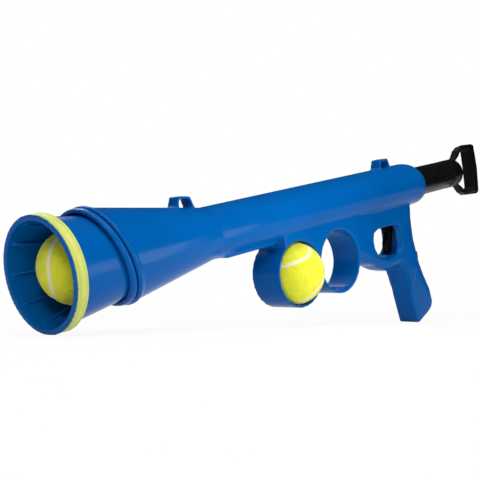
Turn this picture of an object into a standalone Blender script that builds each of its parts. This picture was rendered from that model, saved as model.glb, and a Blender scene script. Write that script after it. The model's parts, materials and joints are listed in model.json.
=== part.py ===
"""Dog ball thrower: a plunger-cocked launcher for a 63 mm ball.

The pieces are modelled in the barrel's own frame: x runs from the mouth to the pull handle along
the barrel's axis, y to the far side, z up. The whole launcher then leans on one empty, so that it
stands on the nozzle's rim and the toe of the grip, as it would on a floor.
"""

import math

import bmesh
import bpy
from mathutils import Matrix

MM = 0.001

# Gaps and small shared sizes
GAP = 0.3 * MM
MERGE = 0.01 * MM
OVERRUN = 6 * MM
PIN_RADIUS = 2 * MM
WALL = 2.2 * MM

# Balls
BALL_RADIUS = 31.5 * MM
LAUNCH_BALL_X = 36 * MM
SPARE_BALL_Y = -7 * MM

# Barrel: a cone that narrows into a tube with a rounded end
TUBE_RADIUS = 24.7 * MM
CONE_END_X = 181.6 * MM
BARREL_ROUND_X = 514 * MM
BARREL_END_X = 529 * MM
END_FACE_RADIUS = 20.6 * MM
END_SLANT_SHARE = 0.24
END_HOLE_RADIUS = 18.9 * MM

# Nozzle, its ribs and its band
NOZZLE_END_X = 86 * MM
NOZZLE_WALL = 2.3 * MM
NOZZLE_FRONT_SHARE = 0.774
NOZZLE_SEAT_SHARE = 0.359
NOZZLE_FLANGE = 3.5 * MM
RIM_RADIUS_SHARE = 1.009
RIM_LIP = 1.6 * MM
MOUTH_CLEARANCE = 16 * MM
BAND_RADIUS = BALL_RADIUS + MOUTH_CLEARANCE
BAND_LENGTH = 10.2 * MM
BAND_THICKNESS = 2 * MM
BAND_EDGE = 0.6 * MM
RIB_COUNT = 10
RIB_HALF_THICKNESS = 1.1 * MM
RIB_START_X = 2.5 * MM
RIB_LIP_X = 6 * MM
RIB_LIP_HEIGHT = 2.2 * MM
RIB_SEAT_SET_IN = 5.5 * MM
RIB_SEAT_X = LAUNCH_BALL_X + BALL_RADIUS - RIB_SEAT_SET_IN
RIB_TAIL = 6 * MM
RIB_END_X = RIB_SEAT_X + RIB_TAIL
RIB_ARC_POINTS = 5

# Slanted and bowed collar at the cone's mouth, and the shells' own bead behind it
COLLAR_X = 57 * MM
COLLAR_ROOM = 6.2 * MM
COLLAR_SLANT_SHARE = 0.33
COLLAR_BOW = 3 * MM
COLLAR_FRONT = 4.4 * MM
COLLAR_BACK = 2.2 * MM
COLLAR_SUNK = 0.7 * MM
COLLAR_EDGE = 0.9 * MM
COLLAR_LIP = 5 * MM
COLLAR_LIP_WALL = 1.6 * MM
BEAD_FRONT = 2.8 * MM
BEAD_BACK = 3.4 * MM
BEAD_PROUD = 1 * MM
BEAD_EDGE = 1.3 * MM
BEAD_BLEND = 6 * MM
MOUTH_INNER_SHARE = 0.82
MOUTH_OUTER_SHARE = 1.13

# Plunger: a black tube with a spring collar, a striker in front and a handle behind
ROD_RADIUS = 17 * MM
ROD_WALL = 3.5 * MM
STROKE = 120 * MM
RUN_GAP = 0.3 * MM
PAD_RADIUS = 16.4 * MM
PAD_THICKNESS = 6 * MM
PAD_EDGE = 1.5 * MM
STRIKER_THICKNESS = 6 * MM
SPIGOT_LENGTH = 14 * MM
CATCH_LENGTH = 8 * MM
CATCH_DEPTH = 2.2 * MM
SPRING_COLLAR_LENGTH = 6 * MM
SPRING_COLLAR_RADIUS = 21.9 * MM

# Guides, bumper and spring inside the barrel
FRONT_GUIDE_X = 186 * MM
FRONT_GUIDE_LENGTH = 10 * MM
GUIDE_HOLE_RADIUS = 19.8 * MM
GUIDE_FLANGE = 2.2 * MM
GUIDE_FLANGE_RADIUS = 21.6 * MM
BUMPER_LENGTH = 8 * MM
SPRING_RIB_X = 425 * MM
SPRING_RIB_LENGTH = 4 * MM
SPRING_RIB_RADIUS = 18.4 * MM
SEAT_THICKNESS = 2 * MM
SPRING_WIRE_RADIUS = 1 * MM
SPRING_TURNS = 13
SPRING_POINTS_PER_TURN = 10

# Keel with its two ball rings
KEEL_HALF_WIDTH = 18.5 * MM
REAR_HALF_WIDTH = 15 * MM
TAPER_START_X = 390 * MM
TAPER_END_X = 430 * MM
KEEL_FRONT_X = 271 * MM
KEEL_TOP_Z = -14 * MM
RING_X = 289.8 * MM
RING_WALL = 2.2 * MM
RING_LAP = 2.6 * MM
RING_FLARE = 0.8 * MM
RING_FLARE_DEPTH = 3 * MM
FIN_START_X = 195 * MM
FIN_HALF_WIDTH = 11 * MM
FIN_DEPTH = 0.9 * MM
FIN_RISE = 5 * MM

# Grip and trigger guard
GRIP_HALF_WIDTH = 12.5 * MM
GUARD_HALF_WIDTH = 7 * MM
WINDOW_FRONT_X = 431 * MM
WINDOW_LENGTH = 40 * MM
WINDOW_TOP_Z = -39.5 * MM
WINDOW_HEIGHT = 37 * MM
WINDOW_ACROSS_SHARES = (0.18, 0.04, 0.0, 0.01, 0.09, 0.22, 0.4, 0.63, 0.82, 0.96, 1.0, 1.0, 0.88, 0.72)
WINDOW_DOWN_SHARES = (0.0, 0.07, 0.26, 0.5, 0.72, 0.9, 1.0, 1.0, 0.92, 0.76, 0.55, 0.18, 0.05, 0.0)
SCOOP_FRONT = 10 * MM
SCOOP_BACK = 9 * MM
GUARD_FRONT_X = 421 * MM
GUARD_LENGTH = 43 * MM
GUARD_DEPTH = 13.5 * MM
GRIP_FRONT_X = 476 * MM
GRIP_TOP_Z = -92 * MM
GRIP_TOE_X = 495 * MM
GRIP_TOE_Z = -160 * MM
TOE_LENGTH = 5 * MM
GRIP_DEPTH = 32.2 * MM
HEEL_CORNER = 9 * MM
GRIP_BACK_X = 504 * MM
GRIP_CAVITY_WALL = 3 * MM
HEEL_SET_IN = 8.4 * MM
HEEL_RISE = 10 * MM
BACK_EDGE = 1.7 * MM
HEEL_ACROSS_SHARES = (0.0, 0.16, 0.36, 0.52, 0.6, 0.68, 0.82, 0.93, 0.99, 1.02, 1.03)
HEEL_UP_SHARES = (0.5, 0.22, 0.04, 0.0, 0.0, 0.02, 0.1, 0.26, 0.48, 0.74, 1.0)

# Sling loops on top
LOOP_HALF_WIDTH = 7 * MM
LOOP_HEIGHT = 10 * MM
LOOP_BASE = 23 * MM
LOOP_TOP = 14 * MM
LOOP_BAR = 2.5 * MM
FRONT_LOOP_X = 159 * MM
REAR_LOOP_X = 473 * MM
LOOP_SINK = 2 * MM

# Trigger, sear and their bay
BAY_HALF_WIDTH = 8.5 * MM
BAY_LAP = 6 * MM
BAY_STEP = 4 * MM
BAY_LEDGE_Z = -40 * MM
BAY_SWING = 4 * MM
BAY_BEHIND = 5.3 * MM
TRIGGER_X = 474 * MM
TRIGGER_Z = -38 * MM
TRIGGER_HALF_WIDTH = 3.4 * MM
TRIGGER_BOSS = 4.6 * MM
TRIGGER_LENGTH = 33 * MM
TRIGGER_DEPTH = 7 * MM
TRIGGER_ARM = 12 * MM
SEAR_BACK = 8 * MM
SEAR_Z = -27 * MM
SEAR_HALF_WIDTH = 4 * MM
SEAR_BOSS = 4.2 * MM
SEAR_NOSE_REACH = 14 * MM
SEAR_NOSE_LENGTH = 5 * MM
SEAR_TAIL_Z = -31 * MM
PIN_HALF_LENGTH = 13 * MM
TORSION_WIRE_RADIUS = 0.35 * MM
TORSION_TURNS = 2
TORSION_GAP = 0.45 * MM
TORSION_LEG = 9 * MM

# Pull handle
HUB_LENGTH = 20 * MM
HUB_RADIUS = 17.2 * MM
HANDLE_ARM_HALF_WIDTH = 4.5 * MM
HANDLE_BAR_HALF_WIDTH = 7.5 * MM
HANDLE_TOP_Z = 31 * MM
HANDLE_BOTTOM_Z = -33 * MM
HANDLE_OUT = 148 * MM
HANDLE_REACH = 72 * MM
HANDLE_BAR_DEPTH = 9.5 * MM
HANDLE_BULGE = 1.4 * MM
HANDLE_PIN_BACK = 12 * MM
HANDLE_OUTER_ALONG_SHARES = (-0.12, 0.08, 0.16, 0.29, 0.46, 0.87, 0.97, 1.0)
HANDLE_OUTER_ACROSS_SHARES = (0.45, 0.5, 0.6, 0.82, 0.96, 1.0, 0.93, 0.5)
HANDLE_INNER_ALONG_SHARES = (0.09, 0.14, 0.29, 0.43, 0.7, 0.79)
HANDLE_INNER_ACROSS_SHARES = (0.3, 0.46, 0.6, 0.81, 0.84, 0.7)

# Shell screws
SCREW_RADIUS = 1.5 * MM
SCREW_HEAD_RADIUS = 3 * MM
SCREW_HEAD_LENGTH = 2 * MM
SCREW_SUNK = 1.2 * MM
SCREW_END_DEPTH = 4 * MM
SCREW_MARGIN = 5 * MM

# The lean that lets the rim and the grip's toe share one floor
BAND_START_X = RIM_LIP
BAND_END_X = RIM_LIP + BAND_LENGTH
RIM_RADIUS = BAND_RADIUS * RIM_RADIUS_SHARE
LEAN = math.atan2(-GRIP_TOE_Z - RIM_RADIUS, GRIP_TOE_X - BAND_START_X + GAP)

# Places that follow from the sizes above
NOZZLE_SLOPE = MOUTH_CLEARANCE * (NOZZLE_FRONT_SHARE - NOZZLE_SEAT_SHARE) / (RIB_SEAT_X - BAND_END_X)
HANDLE_END_X = BARREL_END_X + HANDLE_OUT
ROD_END_X = HANDLE_END_X - HANDLE_REACH
RING_INNER = BALL_RADIUS + GAP
RING_OUTER = RING_INNER + RING_WALL
RING_SPACING = 2 * RING_OUTER - RING_LAP
RING_Z = -(TUBE_RADIUS + RING_OUTER + GAP)
SPARE_RING_X = RING_X + RING_SPACING

# Counts of sides
TURN_STEPS = 48
INNER_STEPS = 32
SMALL_STEPS = 12
RING_STEPS = 40
BALL_SEGMENTS = 28
BALL_RINGS = 14

QUARTER = math.pi / 2


def empty_scene():
    for old in list(bpy.data.objects):
        bpy.data.objects.remove(old, do_unlink=True)


def new_collection(name):
    collection = bpy.data.collections.new(name)
    bpy.context.scene.collection.children.link(collection)
    return collection


def finish(name, colour, roughness, metallic=0.0):
    material = bpy.data.materials.new(name)
    material.use_nodes = True
    shader = material.node_tree.nodes["Principled BSDF"]
    shader.inputs["Base Color"].default_value = (*colour, 1.0)
    shader.inputs["Roughness"].default_value = roughness
    shader.inputs["Metallic"].default_value = metallic
    return material


empty_scene()
PARTS = new_collection("dog_ball_thrower")
CUTTERS = new_collection("cutters")
LAUNCHER = bpy.data.objects.new("launcher", None)
PARTS.objects.link(LAUNCHER)

BLUE = finish("blue_plastic", (0.0, 0.107, 0.413), 0.28)
YELLOW = finish("pale_yellow_rubber", (0.65, 0.71, 0.25), 0.55)
FELT = finish("yellow_felt", (0.68, 0.69, 0.01), 0.95)
BLACK = finish("black_plastic", (0.008, 0.008, 0.009), 0.4)
RUBBER = finish("soft_black_rubber", (0.02, 0.02, 0.02), 0.8)
NYLON = finish("white_nylon", (0.72, 0.72, 0.68), 0.5)
STEEL = finish("zinc_steel", (0.55, 0.55, 0.56), 0.3, 1.0)


def place(name, mesh, material=None):
    """Puts a mesh under the launcher's empty. Without a material it is a cutter."""
    piece = bpy.data.objects.new(name, mesh)
    (PARTS if material else CUTTERS).objects.link(piece)
    piece.parent = LAUNCHER
    if material:
        mesh.materials.clear()
        mesh.materials.append(material)
    else:
        piece.hide_render = True
        piece.display_type = "WIRE"
    return piece


def mesh_from(name, builder):
    """A mesh made by a function that fills a bmesh, with its faces turned outwards."""
    mesh = bpy.data.meshes.new(name)
    bm = bmesh.new()
    builder(bm)
    bmesh.ops.recalc_face_normals(bm, faces=bm.faces)
    bm.to_mesh(mesh)
    bm.free()
    return mesh


def baked(piece, material=None):
    """Replaces a piece by its evaluated mesh, with doubled points merged."""
    bpy.context.view_layer.update()
    graph = bpy.context.evaluated_depsgraph_get()
    mesh = bpy.data.meshes.new_from_object(piece.evaluated_get(graph))
    bm = bmesh.new()
    bm.from_mesh(mesh)
    bmesh.ops.remove_doubles(bm, verts=bm.verts, dist=MERGE)
    bm.to_mesh(mesh)
    bm.free()
    name, spot, turn = piece.name, piece.location.copy(), piece.rotation_euler.copy()
    bpy.data.objects.remove(piece, do_unlink=True)
    made = place(name, mesh, material)
    made.location, made.rotation_euler = spot, turn
    return made


def turned(name, outline, material=None, steps=TURN_STEPS, on_axis=False):
    """A piece turned about the barrel's axis. Its outline is (place, radius), the outer side from
    the rear to the front. With on_axis it starts and ends on the axis, otherwise it is a loop."""
    mesh = bpy.data.meshes.new(name)
    bm = bmesh.new()
    points = [bm.verts.new((radius, 0, along)) for along, radius in outline]
    for first, second in zip(points, points[1:]):
        bm.edges.new((first, second))
    if not on_axis:
        bm.edges.new((points[-1], points[0]))
    bm.to_mesh(mesh)
    bm.free()
    piece = place(name, mesh, material)
    piece.rotation_euler = (0, QUARTER, 0)
    screw = piece.modifiers.new("Turn", "SCREW")
    screw.axis = "Z"
    screw.steps = screw.render_steps = steps
    screw.use_merge_vertices = True
    screw.merge_threshold = MERGE
    return piece


def plate(name, outlines, half_width, material=None, pivot=(0, 0)):
    """A flat piece across the barrel: closed outlines in (x, z), inner ones being holes."""
    curve = bpy.data.curves.new(name, "CURVE")
    curve.dimensions = "2D"
    curve.fill_mode = "BOTH"
    curve.extrude = half_width
    for outline in outlines:
        spline = curve.splines.new("POLY")
        spline.points.add(len(outline) - 1)
        for point, (x, z) in zip(spline.points, outline):
            point.co = (x - pivot[0], z - pivot[1], 0, 1)
        spline.use_cyclic_u = True
    guide = bpy.data.objects.new(name, curve)
    CUTTERS.objects.link(guide)
    guide.location = (pivot[0], 0, pivot[1])
    guide.rotation_euler = (QUARTER, 0, 0)
    return baked(guide, material)


def loft(name, sections, material=None):
    """A closed body through outlines of equal length, each at its own y."""

    def fill(bm):
        loops = [[bm.verts.new((x, y, z)) for x, z in outline] for y, outline in sections]
        for near, far in zip(loops, loops[1:]):
            for i in range(len(near)):
                j = (i + 1) % len(near)
                bm.faces.new((near[i], near[j], far[j], far[i]))
        bm.faces.new(loops[0])
        bm.faces.new(loops[-1])

    return place(name, mesh_from(name, fill), material)


def cross_pins(name, pins, material=None, steps=SMALL_STEPS):
    """One mesh of cylinders across the barrel, each (x, z, radius, y of one end, y of the other)."""

    def fill(bm):
        for x, z, radius, start, end in pins:
            made = bmesh.ops.create_cone(
                bm, cap_ends=True, segments=steps, radius1=radius, radius2=radius, depth=end - start
            )
            turn = Matrix.Translation((x, (start + end) / 2, z)) @ Matrix.Rotation(QUARTER, 4, "X")
            bmesh.ops.transform(bm, matrix=turn, verts=made["verts"])

    return place(name, mesh_from(name, fill), material)


def box(name, low, high):
    def fill(bm):
        made = bmesh.ops.create_cube(bm, size=1)
        for vert in made["verts"]:
            for axis in range(3):
                vert.co[axis] = high[axis] if vert.co[axis] > 0 else low[axis]

    return place(name, mesh_from(name, fill))


def boolean(piece, other, operation="DIFFERENCE"):
    step = piece.modifiers.new(other.name, "BOOLEAN")
    step.operation = operation
    step.object = other
    return piece


def join(piece, other):
    return boolean(piece, other, "UNION")


def tube_along(name, points, radius, material):
    """A wire through the points, closed at its ends."""
    curve = bpy.data.curves.new(name, "CURVE")
    curve.dimensions = "3D"
    curve.bevel_depth = radius
    curve.bevel_resolution = 1
    curve.use_fill_caps = True
    spline = curve.splines.new("POLY")
    spline.points.add(len(points) - 1)
    for point, spot in zip(spline.points, points):
        point.co = (*spot, 1)
    wire = bpy.data.objects.new(name, curve)
    PARTS.objects.link(wire)
    wire.parent = LAUNCHER
    curve.materials.append(material)
    return wire


def arc(centre, radius, start, end, count):
    """Points on a circle in (x, z), from one angle to another in degrees."""
    spots = []
    for i in range(count + 1):
        angle = math.radians(start + (end - start) * i / count)
        spots.append((centre[0] + radius * math.cos(angle), centre[1] + radius * math.sin(angle)))
    return spots


def nozzle_radius(x):
    """The nozzle's outer side, from its shoulder behind the band to the ball's seat and beyond."""
    return BALL_RADIUS + MOUTH_CLEARANCE * NOZZLE_FRONT_SHARE - NOZZLE_SLOPE * (x - BAND_END_X)


CONE_SLOPE = (nozzle_radius(COLLAR_X) + COLLAR_ROOM - TUBE_RADIUS) / (CONE_END_X - COLLAR_X)


def cone_radius(x):
    return TUBE_RADIUS + CONE_SLOPE * (CONE_END_X - x)


def barrel_radius(x):
    return max(TUBE_RADIUS, cone_radius(x))


def slanted(piece, material=None):
    """Slants a turned collar piece, top forward, bows it and lifts it to follow the cone."""
    made = baked(piece, material)
    middle = cone_radius(COLLAR_X)
    for vert in made.data.vertices:
        vert.co.x -= CONE_SLOPE * COLLAR_SLANT_SHARE * middle
        vert.co.z += COLLAR_SLANT_SHARE * vert.co.x + COLLAR_BOW * (vert.co.x / middle) ** 2
    return made


# Balls
def ball(name, x, y, z):
    bpy.ops.mesh.primitive_uv_sphere_add(segments=BALL_SEGMENTS, ring_count=BALL_RINGS, radius=BALL_RADIUS)
    made = bpy.context.active_object
    mesh = made.data
    bpy.data.objects.remove(made, do_unlink=True)
    mesh.name = name
    piece = place(name, mesh, FELT)
    piece.location = (x, y, z)
    mesh.shade_smooth()
    return piece


ball("launch_ball", LAUNCH_BALL_X, 0, 0)
ball("spare_ball", RING_X, SPARE_BALL_Y, RING_Z)


# Nozzle: a flared mouth whose ribs hold the ball, with a flange that sits in the cone
BAND_SEAT_RADIUS = BAND_RADIUS - BAND_THICKNESS - GAP
SHOULDER_X = BAND_END_X + 2 * GAP


def nozzle_inner(x):
    """The inner side, which flares out to the rim inside the band."""
    shoulder = nozzle_radius(SHOULDER_X) - NOZZLE_WALL
    if x > SHOULDER_X:
        return nozzle_radius(x) - NOZZLE_WALL
    mouth = BAND_SEAT_RADIUS - NOZZLE_WALL
    return mouth + (shoulder - mouth) * x / SHOULDER_X


def make_nozzle():
    flange_radius = cone_radius(NOZZLE_END_X) - WALL - GAP
    outline = [
        (NOZZLE_END_X, flange_radius),
        (NOZZLE_END_X - NOZZLE_FLANGE, flange_radius),
        (NOZZLE_END_X - NOZZLE_FLANGE, nozzle_radius(NOZZLE_END_X - NOZZLE_FLANGE)),
        (SHOULDER_X, nozzle_radius(SHOULDER_X)),
        (SHOULDER_X, BAND_SEAT_RADIUS),
        (BAND_START_X - GAP, BAND_SEAT_RADIUS),
        (BAND_START_X - GAP, RIM_RADIUS),
        (0, RIM_RADIUS - 2 * GAP),
        (0, nozzle_inner(0)),
        (SHOULDER_X, nozzle_inner(SHOULDER_X)),
        (NOZZLE_END_X, nozzle_inner(NOZZLE_END_X)),
    ]
    nozzle = turned("nozzle", outline, BLUE, steps=TURN_STEPS + RIB_COUNT + 2)

    seat = BALL_RADIUS + GAP
    rib = [(RIB_START_X, nozzle_inner(RIB_START_X) + NOZZLE_WALL / 2)]
    rib.append((RIB_LIP_X, nozzle_inner(RIB_LIP_X) - RIB_LIP_HEIGHT))
    for i in range(RIB_ARC_POINTS + 1):
        x = LAUNCH_BALL_X + (RIB_SEAT_X - LAUNCH_BALL_X) * i / RIB_ARC_POINTS
        rib.append((x, math.sqrt(seat**2 - (x - LAUNCH_BALL_X) ** 2)))
    rib.append((RIB_END_X, ROD_RADIUS + 4 * GAP))
    for x in (NOZZLE_END_X - NOZZLE_WALL, SHOULDER_X):
        rib.append((x, nozzle_inner(x) + NOZZLE_WALL / 2))

    def fill(bm):
        for i in range(RIB_COUNT):
            turn = Matrix.Rotation(2 * math.pi * i / RIB_COUNT + QUARTER, 4, "X")
            sides = []
            for y in (-RIB_HALF_THICKNESS, RIB_HALF_THICKNESS):
                sides.append([bm.verts.new(turn @ Matrix.Translation((x, y, r)).to_translation()) for x, r in rib])
            near, far = sides
            bm.faces.new(near)
            bm.faces.new(list(reversed(far)))
            for a in range(len(rib)):
                b = (a + 1) % len(rib)
                bm.faces.new((near[b], near[a], far[a], far[b]))

    ribs = place("nozzle_ribs", mesh_from("nozzle_ribs", fill))
    return join(nozzle, ribs)


def make_band():
    inner = BAND_RADIUS - BAND_THICKNESS
    outline = [
        (BAND_END_X, inner),
        (BAND_END_X, BAND_RADIUS - BAND_EDGE),
        (BAND_END_X - BAND_EDGE, BAND_RADIUS),
        (BAND_START_X + BAND_EDGE, BAND_RADIUS),
        (BAND_START_X, BAND_RADIUS - BAND_EDGE),
        (BAND_START_X, inner),
    ]
    return turned("nozzle_band", outline, YELLOW, steps=TURN_STEPS + RIB_COUNT + 2)


make_nozzle()
make_band()


# Collar ring: a slanted bead in front of the shells, with a lip inside their mouth
def make_collar_ring():
    front = COLLAR_X - COLLAR_FRONT
    back = COLLAR_X + COLLAR_BACK
    lip = back + COLLAR_LIP
    crest = cone_radius(COLLAR_X) - COLLAR_SUNK
    bore = cone_radius(back) - WALL - 2 * GAP
    lifted = (CONE_SLOPE - NOZZLE_SLOPE) * COLLAR_SLANT_SHARE * cone_radius(COLLAR_X)
    throat = nozzle_radius(front) + 2 * GAP + lifted
    outline = [
        (lip, bore - CONE_SLOPE * COLLAR_LIP - COLLAR_LIP_WALL),
        (lip, bore - CONE_SLOPE * COLLAR_LIP),
        (back, bore),
        (back, crest - 2 * COLLAR_EDGE),
        (back - COLLAR_EDGE, crest - COLLAR_EDGE / 3),
        (COLLAR_X, crest),
        (front + 2 * COLLAR_EDGE, crest - COLLAR_EDGE / 3),
        (front + COLLAR_EDGE / 3, crest - COLLAR_EDGE),
        (front, crest - 2 * COLLAR_EDGE),
        (front, throat),
    ]
    return slanted(turned("collar_ring", outline), BLUE)


make_collar_ring()


# Body shells: barrel, keel with ball rings, trigger guard, grip and sling loops, in two halves
BAY_FRONT_X = TRIGGER_X - SEAR_BACK - SEAR_NOSE_REACH - SEAR_NOSE_LENGTH
BAY_BACK_X = TRIGGER_X + TRIGGER_ARM + BAY_BEHIND
BAY_BOTTOM_Z = WINDOW_TOP_Z - WINDOW_HEIGHT - GAP
MOUTH_X = COLLAR_X + COLLAR_BACK + GAP
MOUTH_REACH = COLLAR_SLANT_SHARE * BAND_RADIUS + OVERRUN


def barrel_blank():
    front = MOUTH_X - MOUTH_REACH
    rounding = [
        (
            BARREL_ROUND_X + (BARREL_END_X - BARREL_ROUND_X) * math.sin(math.radians(step)),
            END_FACE_RADIUS + (TUBE_RADIUS - END_FACE_RADIUS) * math.cos(math.radians(step)),
        )
        for step in (90, 60, 30, 0)
    ]
    outline = [(BARREL_END_X, 0), *rounding]
    outline += [(CONE_END_X, TUBE_RADIUS), (front, cone_radius(front)), (front, 0)]
    blank = baked(turned("barrel_blank", outline, on_axis=True))
    for vert in blank.data.vertices:
        if vert.co.z > BARREL_ROUND_X - MERGE and vert.co.xy.length > MERGE:
            vert.co.z += END_SLANT_SHARE * vert.co.x
    return blank


def barrel_bore():
    """What is empty in the barrel, with the ribs that hold the guides left standing."""
    front = MOUTH_X - MOUTH_REACH - OVERRUN
    inner = TUBE_RADIUS - WALL
    guide_end = FRONT_GUIDE_X + FRONT_GUIDE_LENGTH
    rib_end = SPRING_RIB_X + SPRING_RIB_LENGTH
    outline = [
        (BARREL_END_X + OVERRUN, 0),
        (BARREL_END_X + OVERRUN, END_HOLE_RADIUS),
        (BARREL_ROUND_X, END_HOLE_RADIUS),
        (BARREL_ROUND_X, inner),
        (rib_end, inner),
        (rib_end, SPRING_RIB_RADIUS),
        (SPRING_RIB_X, SPRING_RIB_RADIUS),
        (SPRING_RIB_X, inner),
        (guide_end, inner),
        (guide_end, GUIDE_HOLE_RADIUS),
        (FRONT_GUIDE_X, GUIDE_HOLE_RADIUS),
        (FRONT_GUIDE_X, inner),
        (CONE_END_X, inner),
        (front, cone_radius(front) - WALL),
        (front, 0),
    ]
    return turned("barrel_bore", outline, on_axis=True)


def bead():
    """The shells' own slanted bead behind the collar ring, blended into the cone."""
    start = MOUTH_X - GAP
    crest = COLLAR_X + COLLAR_BACK + BEAD_FRONT
    end = crest + BEAD_BACK
    sunk = cone_radius(end) - WALL / 2
    top = cone_radius(crest) + BEAD_PROUD
    outline = [
        (end + BEAD_BLEND, cone_radius(end + BEAD_BLEND) - WALL / 2),
        (end, cone_radius(end) + BEAD_PROUD / 2),
        (crest + BEAD_EDGE, top - BEAD_PROUD / 8),
        (crest, top),
        (crest - BEAD_EDGE, top - BEAD_EDGE / 3),
        (start, top - BEAD_EDGE),
        (start, sunk),
    ]
    return slanted(turned("bead", outline))


def mouth_cutter():
    """Cuts the cone and its bead off along the collar's slanted back."""
    near, far = MOUTH_INNER_SHARE * BAND_RADIUS, MOUTH_OUTER_SHARE * BAND_RADIUS
    front = MOUTH_X - 2 * MOUTH_REACH - 2 * OVERRUN
    outline = [(MOUTH_X, 0), (MOUTH_X, near), (MOUTH_X, far), (front, far), (front, 0)]
    return slanted(turned("mouth_cutter", outline, on_axis=True))


def lower_outline(level):
    """The keel, ball rings, guard and grip at one distance from the middle, in (x, z). The levels
    run from 0, the guard's half width, over 1, the grip's, to 2, the keel's full half width."""
    joint = math.degrees(math.acos(RING_SPACING / 2 / RING_OUTER))
    shoulder = math.degrees(math.asin((RING_X - KEEL_FRONT_X) / RING_OUTER))
    leave = (-20, -12, 4)[level]
    floor = WINDOW_TOP_Z - WINDOW_HEIGHT
    low = floor - GUARD_DEPTH
    sag = ((floor + 2 * low) / 3, (floor + low) / 2, floor)[level]
    bottom = (low, (floor + 2 * low) / 3, (2 * floor + low) / 3)[level]
    guard_end = GUARD_FRONT_X + GUARD_LENGTH
    back = GRIP_BACK_X - (0, 0, HEEL_SET_IN)[level]
    outline = [(KEEL_FRONT_X, KEEL_TOP_Z)]
    outline += arc((RING_X, RING_Z), RING_OUTER, 90 + shoulder, 360 - joint, 16)
    outline += arc((SPARE_RING_X, RING_Z), RING_OUTER, 180 + joint, 360 + leave, 14)[1:]
    outline += [
        (GUARD_FRONT_X, (floor + sag) / 2 + GUARD_DEPTH / 4),
        (GUARD_FRONT_X + GUARD_LENGTH / 3, sag),
        (GUARD_FRONT_X + GUARD_LENGTH * 2 / 3, bottom),
        (guard_end + (GRIP_FRONT_X - guard_end) / 2, bottom),
    ]
    slope = (GRIP_TOE_X - TOE_LENGTH - GRIP_FRONT_X) / (GRIP_TOP_Z - GRIP_TOE_Z)
    if level < 2:
        waist = (GRIP_TOP_Z * 3 + GRIP_TOE_Z) / 4
        knee = (GRIP_TOP_Z + GRIP_TOE_Z) / 2
        heel_x = GRIP_TOE_X + GRIP_DEPTH
        heel_z = GRIP_TOE_Z + GRIP_DEPTH / 2
        outline += [
            (GRIP_FRONT_X, GRIP_TOP_Z),
            (GRIP_FRONT_X + slope * (GRIP_TOP_Z - waist) + TOE_LENGTH / 3, waist),
            (GRIP_FRONT_X + slope * (GRIP_TOP_Z - knee), knee),
            (GRIP_TOE_X - TOE_LENGTH, GRIP_TOE_Z + TOE_LENGTH * math.tan(LEAN)),
            (GRIP_TOE_X, GRIP_TOE_Z),
            (heel_x - HEEL_CORNER, heel_z - HEEL_CORNER * 7 / 8),
            (heel_x - HEEL_CORNER / 4, heel_z - HEEL_CORNER * 3 / 8),
            (heel_x, heel_z + HEEL_CORNER / 4),
            (heel_x - HEEL_CORNER / 3, knee),
            (GRIP_BACK_X + (heel_x - GRIP_BACK_X) / 2, (GRIP_TOP_Z + knee) / 2),
            (GRIP_BACK_X + TOE_LENGTH, GRIP_TOP_Z),
        ]
    else:
        for across, up in zip(HEEL_ACROSS_SHARES, HEEL_UP_SHARES):
            x = GRIP_FRONT_X + (back - GRIP_FRONT_X) * across
            outline.append((x, GRIP_TOP_Z + HEEL_RISE * up))
    outline += [
        (back - BACK_EDGE, (GRIP_TOP_Z + KEEL_TOP_Z) / 2 - HEEL_RISE / 2),
        (back - BACK_EDGE, (GRIP_TOP_Z + 2 * KEEL_TOP_Z) / 3),
        (back + BACK_EDGE, KEEL_TOP_Z),
    ]
    return outline


def half_width_at(x):
    """The shells' half width under the barrel, which narrows behind the rings."""
    along = min(max((x - TAPER_START_X) / (TAPER_END_X - TAPER_START_X), 0), 1)
    return KEEL_HALF_WIDTH + (REAR_HALF_WIDTH - KEEL_HALF_WIDTH) * along


def lower_blank():
    sections = []
    for side in (-1, 1):
        levels = (2, 1, 0) if side < 0 else (0, 1, 2)
        widths = (GUARD_HALF_WIDTH, GRIP_HALF_WIDTH, KEEL_HALF_WIDTH)
        sections += [(side * widths[level], lower_outline(level)) for level in levels]
    blank = loft("lower_blank", sections)
    bm = bmesh.new()
    bm.from_mesh(blank.data)
    for x in (TAPER_START_X, TAPER_END_X):
        everything = list(bm.verts) + list(bm.edges) + list(bm.faces)
        bmesh.ops.bisect_plane(bm, geom=everything, plane_co=(x, 0, 0), plane_no=(1, 0, 0))
    for vert in bm.verts:
        if abs(vert.co.y) > GRIP_HALF_WIDTH + MERGE:
            share = (abs(vert.co.y) - GRIP_HALF_WIDTH) / (KEEL_HALF_WIDTH - GRIP_HALF_WIDTH)
            wide = GRIP_HALF_WIDTH + share * (half_width_at(vert.co.x) - GRIP_HALF_WIDTH)
            vert.co.y = math.copysign(wide, vert.co.y)
    bm.to_mesh(blank.data)
    bm.free()
    return blank


def ring_bore(name, x):
    """One ball ring's bore, flared at both ends."""
    out = KEEL_HALF_WIDTH + OVERRUN
    steps = (
        (out, RING_INNER + RING_FLARE),
        (KEEL_HALF_WIDTH, RING_INNER + RING_FLARE),
        (KEEL_HALF_WIDTH - RING_FLARE_DEPTH, RING_INNER),
    )
    sections = [(-y, arc((x, RING_Z), radius, 0, 360, RING_STEPS)[:-1]) for y, radius in steps]
    sections += [(y, arc((x, RING_Z), radius, 0, 360, RING_STEPS)[:-1]) for y, radius in reversed(steps)]
    return loft(name, sections)


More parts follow.
